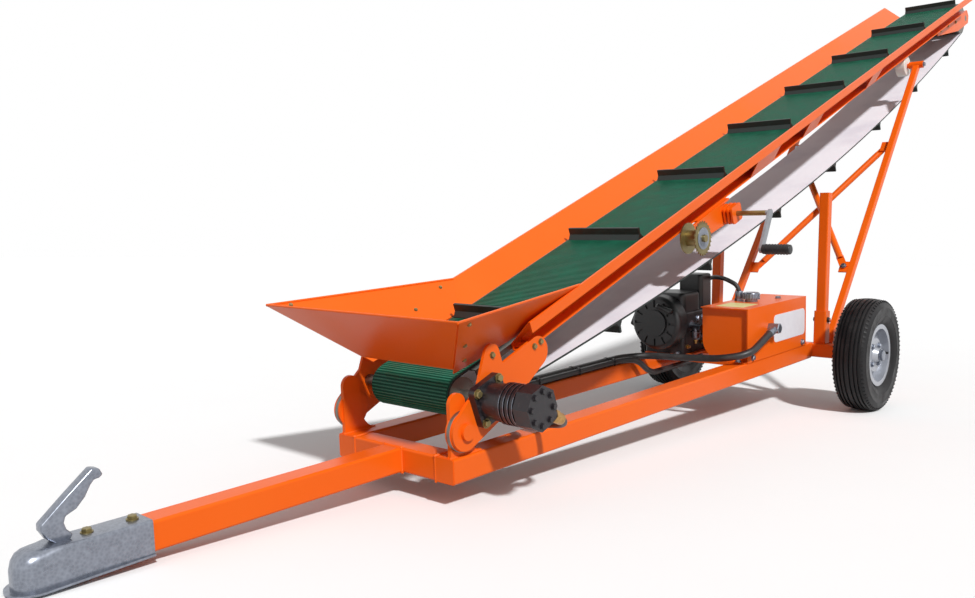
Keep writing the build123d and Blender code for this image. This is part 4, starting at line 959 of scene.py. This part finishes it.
# Columns: place of the ferrule's nut in the chassis frame, the way that it points
ferrules = (
    ((pump_along, pump_side, 0.066), (0, 0, -1)), ((pump_along, pump_side, 0.179), upward),
    ((-0.3458, -0.064, tank_top - 0.0005), upward),
    ((rail_ferrule, pressure_side, pressure_up), rearward),
    ((rail_ferrule, return_side, return_up), rearward),
    (tank_end, tank_bend - tank_end))
ferrule_places = [chassis @ facing(spot, way) for spot, way in ferrules]
repeated("hose_ferrules", ferrule, ferrule_places, zinc, "chassis")
union_nut = lathe([(0, 0), (0.0190, 0), (0.0190, 0.0365), (0.0160, 0.0390), (0, 0.0390)], 6)
union_place = chassis @ facing((-0.398, tank_left, 0.133), leftward)
add_piece("tank_union", joined((union_nut, union_place)), zinc, "chassis")
tie = lathe([(0.0124, -0.0026), (0.0140, -0.0026), (0.0140, 0.0026), (0.0124, 0.0026)], 28, True)
tie_lines = ((return_side, return_up), (pressure_side, 0.0412))
tie_places = []
for along in (-1.46, -1.25, -1.04, -0.84):
    tie_places += [chassis @ facing((along, side, up), rearward) for side, up in tie_lines]
repeated("hose_ties", tie, tie_places, black, "chassis")


# Stage: a plain pale floor under soft daylight, one broad sun from the front left, and the camera
# where the photograph was taken from.
floor_half = 30.0
floor_corners = [(x * floor_half, y * floor_half, 0) for x, y in ((-1, -1), (1, -1), (1, 1), (-1, 1))]
floor_mesh = bpy.data.meshes.new("floor")
floor_mesh.from_pydata(floor_corners, [], [(0, 1, 2, 3)])
floor = linked("floor", floor_mesh)
pale, place, shader = new_finish("pale_floor", Roughness=0.9)


def plain_view(tree):
    """1 for what the camera sees, also mirrored or through something clear, 0 for light on the object."""
    path = tree.nodes.new("ShaderNodeLightPath")
    seen, mirrored, through = [Socket(tree, path.outputs[name])
                               for name in ("Is Camera Ray", "Is Glossy Ray", "Is Transmission Ray")]
    return seen.math("MAXIMUM", seen.math("MAXIMUM", seen, mirrored), through)


floor_tone = place.noise(3.0).mixed((0.97, 0.97, 0.97, 1), (0.99, 0.99, 0.99, 1))
feed(shader, Base_Color=plain_view(pale.node_tree).mixed((0.42, 0.42, 0.43, 1), floor_tone))
floor_mesh.materials.append(pale)

world = bpy.data.worlds.new("daylight")
scene.world = world
world.use_nodes = True
background = world.node_tree.nodes["Background"]
background.inputs["Color"].default_value = (1, 1, 1, 1)
ambient = 0.34
strength = plain_view(world.node_tree) * (1 - ambient) + ambient
world.node_tree.links.new(strength.socket, background.inputs["Strength"])

sun = bpy.data.lights.new("sun", "SUN")
sun.energy = 3.1
sun.angle = math.radians(4)
sun_object = linked("sun", sun)
sun_way = Vector((0.225, 0.411, -0.442))
sun_object.rotation_euler = sun_way.to_track_quat("-Z", "Y").to_euler()

camera_place = Vector((-3.0287, -1.5711, 0.5993))
yaw, pitch, roll = math.radians(42.2116), math.radians(-3.5087), math.radians(0.6183)
forward = Vector((math.cos(yaw) * math.cos(pitch), math.sin(yaw) * math.cos(pitch), math.sin(pitch)))
right = forward.cross(Vector((0, 0, 1))).normalized()
up = right.cross(forward)
right, up = right * math.cos(roll) + up * math.sin(roll), up * math.cos(roll) - right * math.sin(roll)
camera = bpy.data.cameras.new("camera")
camera.sensor_width = 36.0
camera.lens = 32.914
camera_object = linked("camera", camera)
camera_axes = Matrix((right, up, -forward)).transposed().to_4x4()
camera_object.matrix_world = Matrix.Translation(camera_place) @ camera_axes
scene.camera = camera_object
scene.view_settings.view_transform = "Standard"
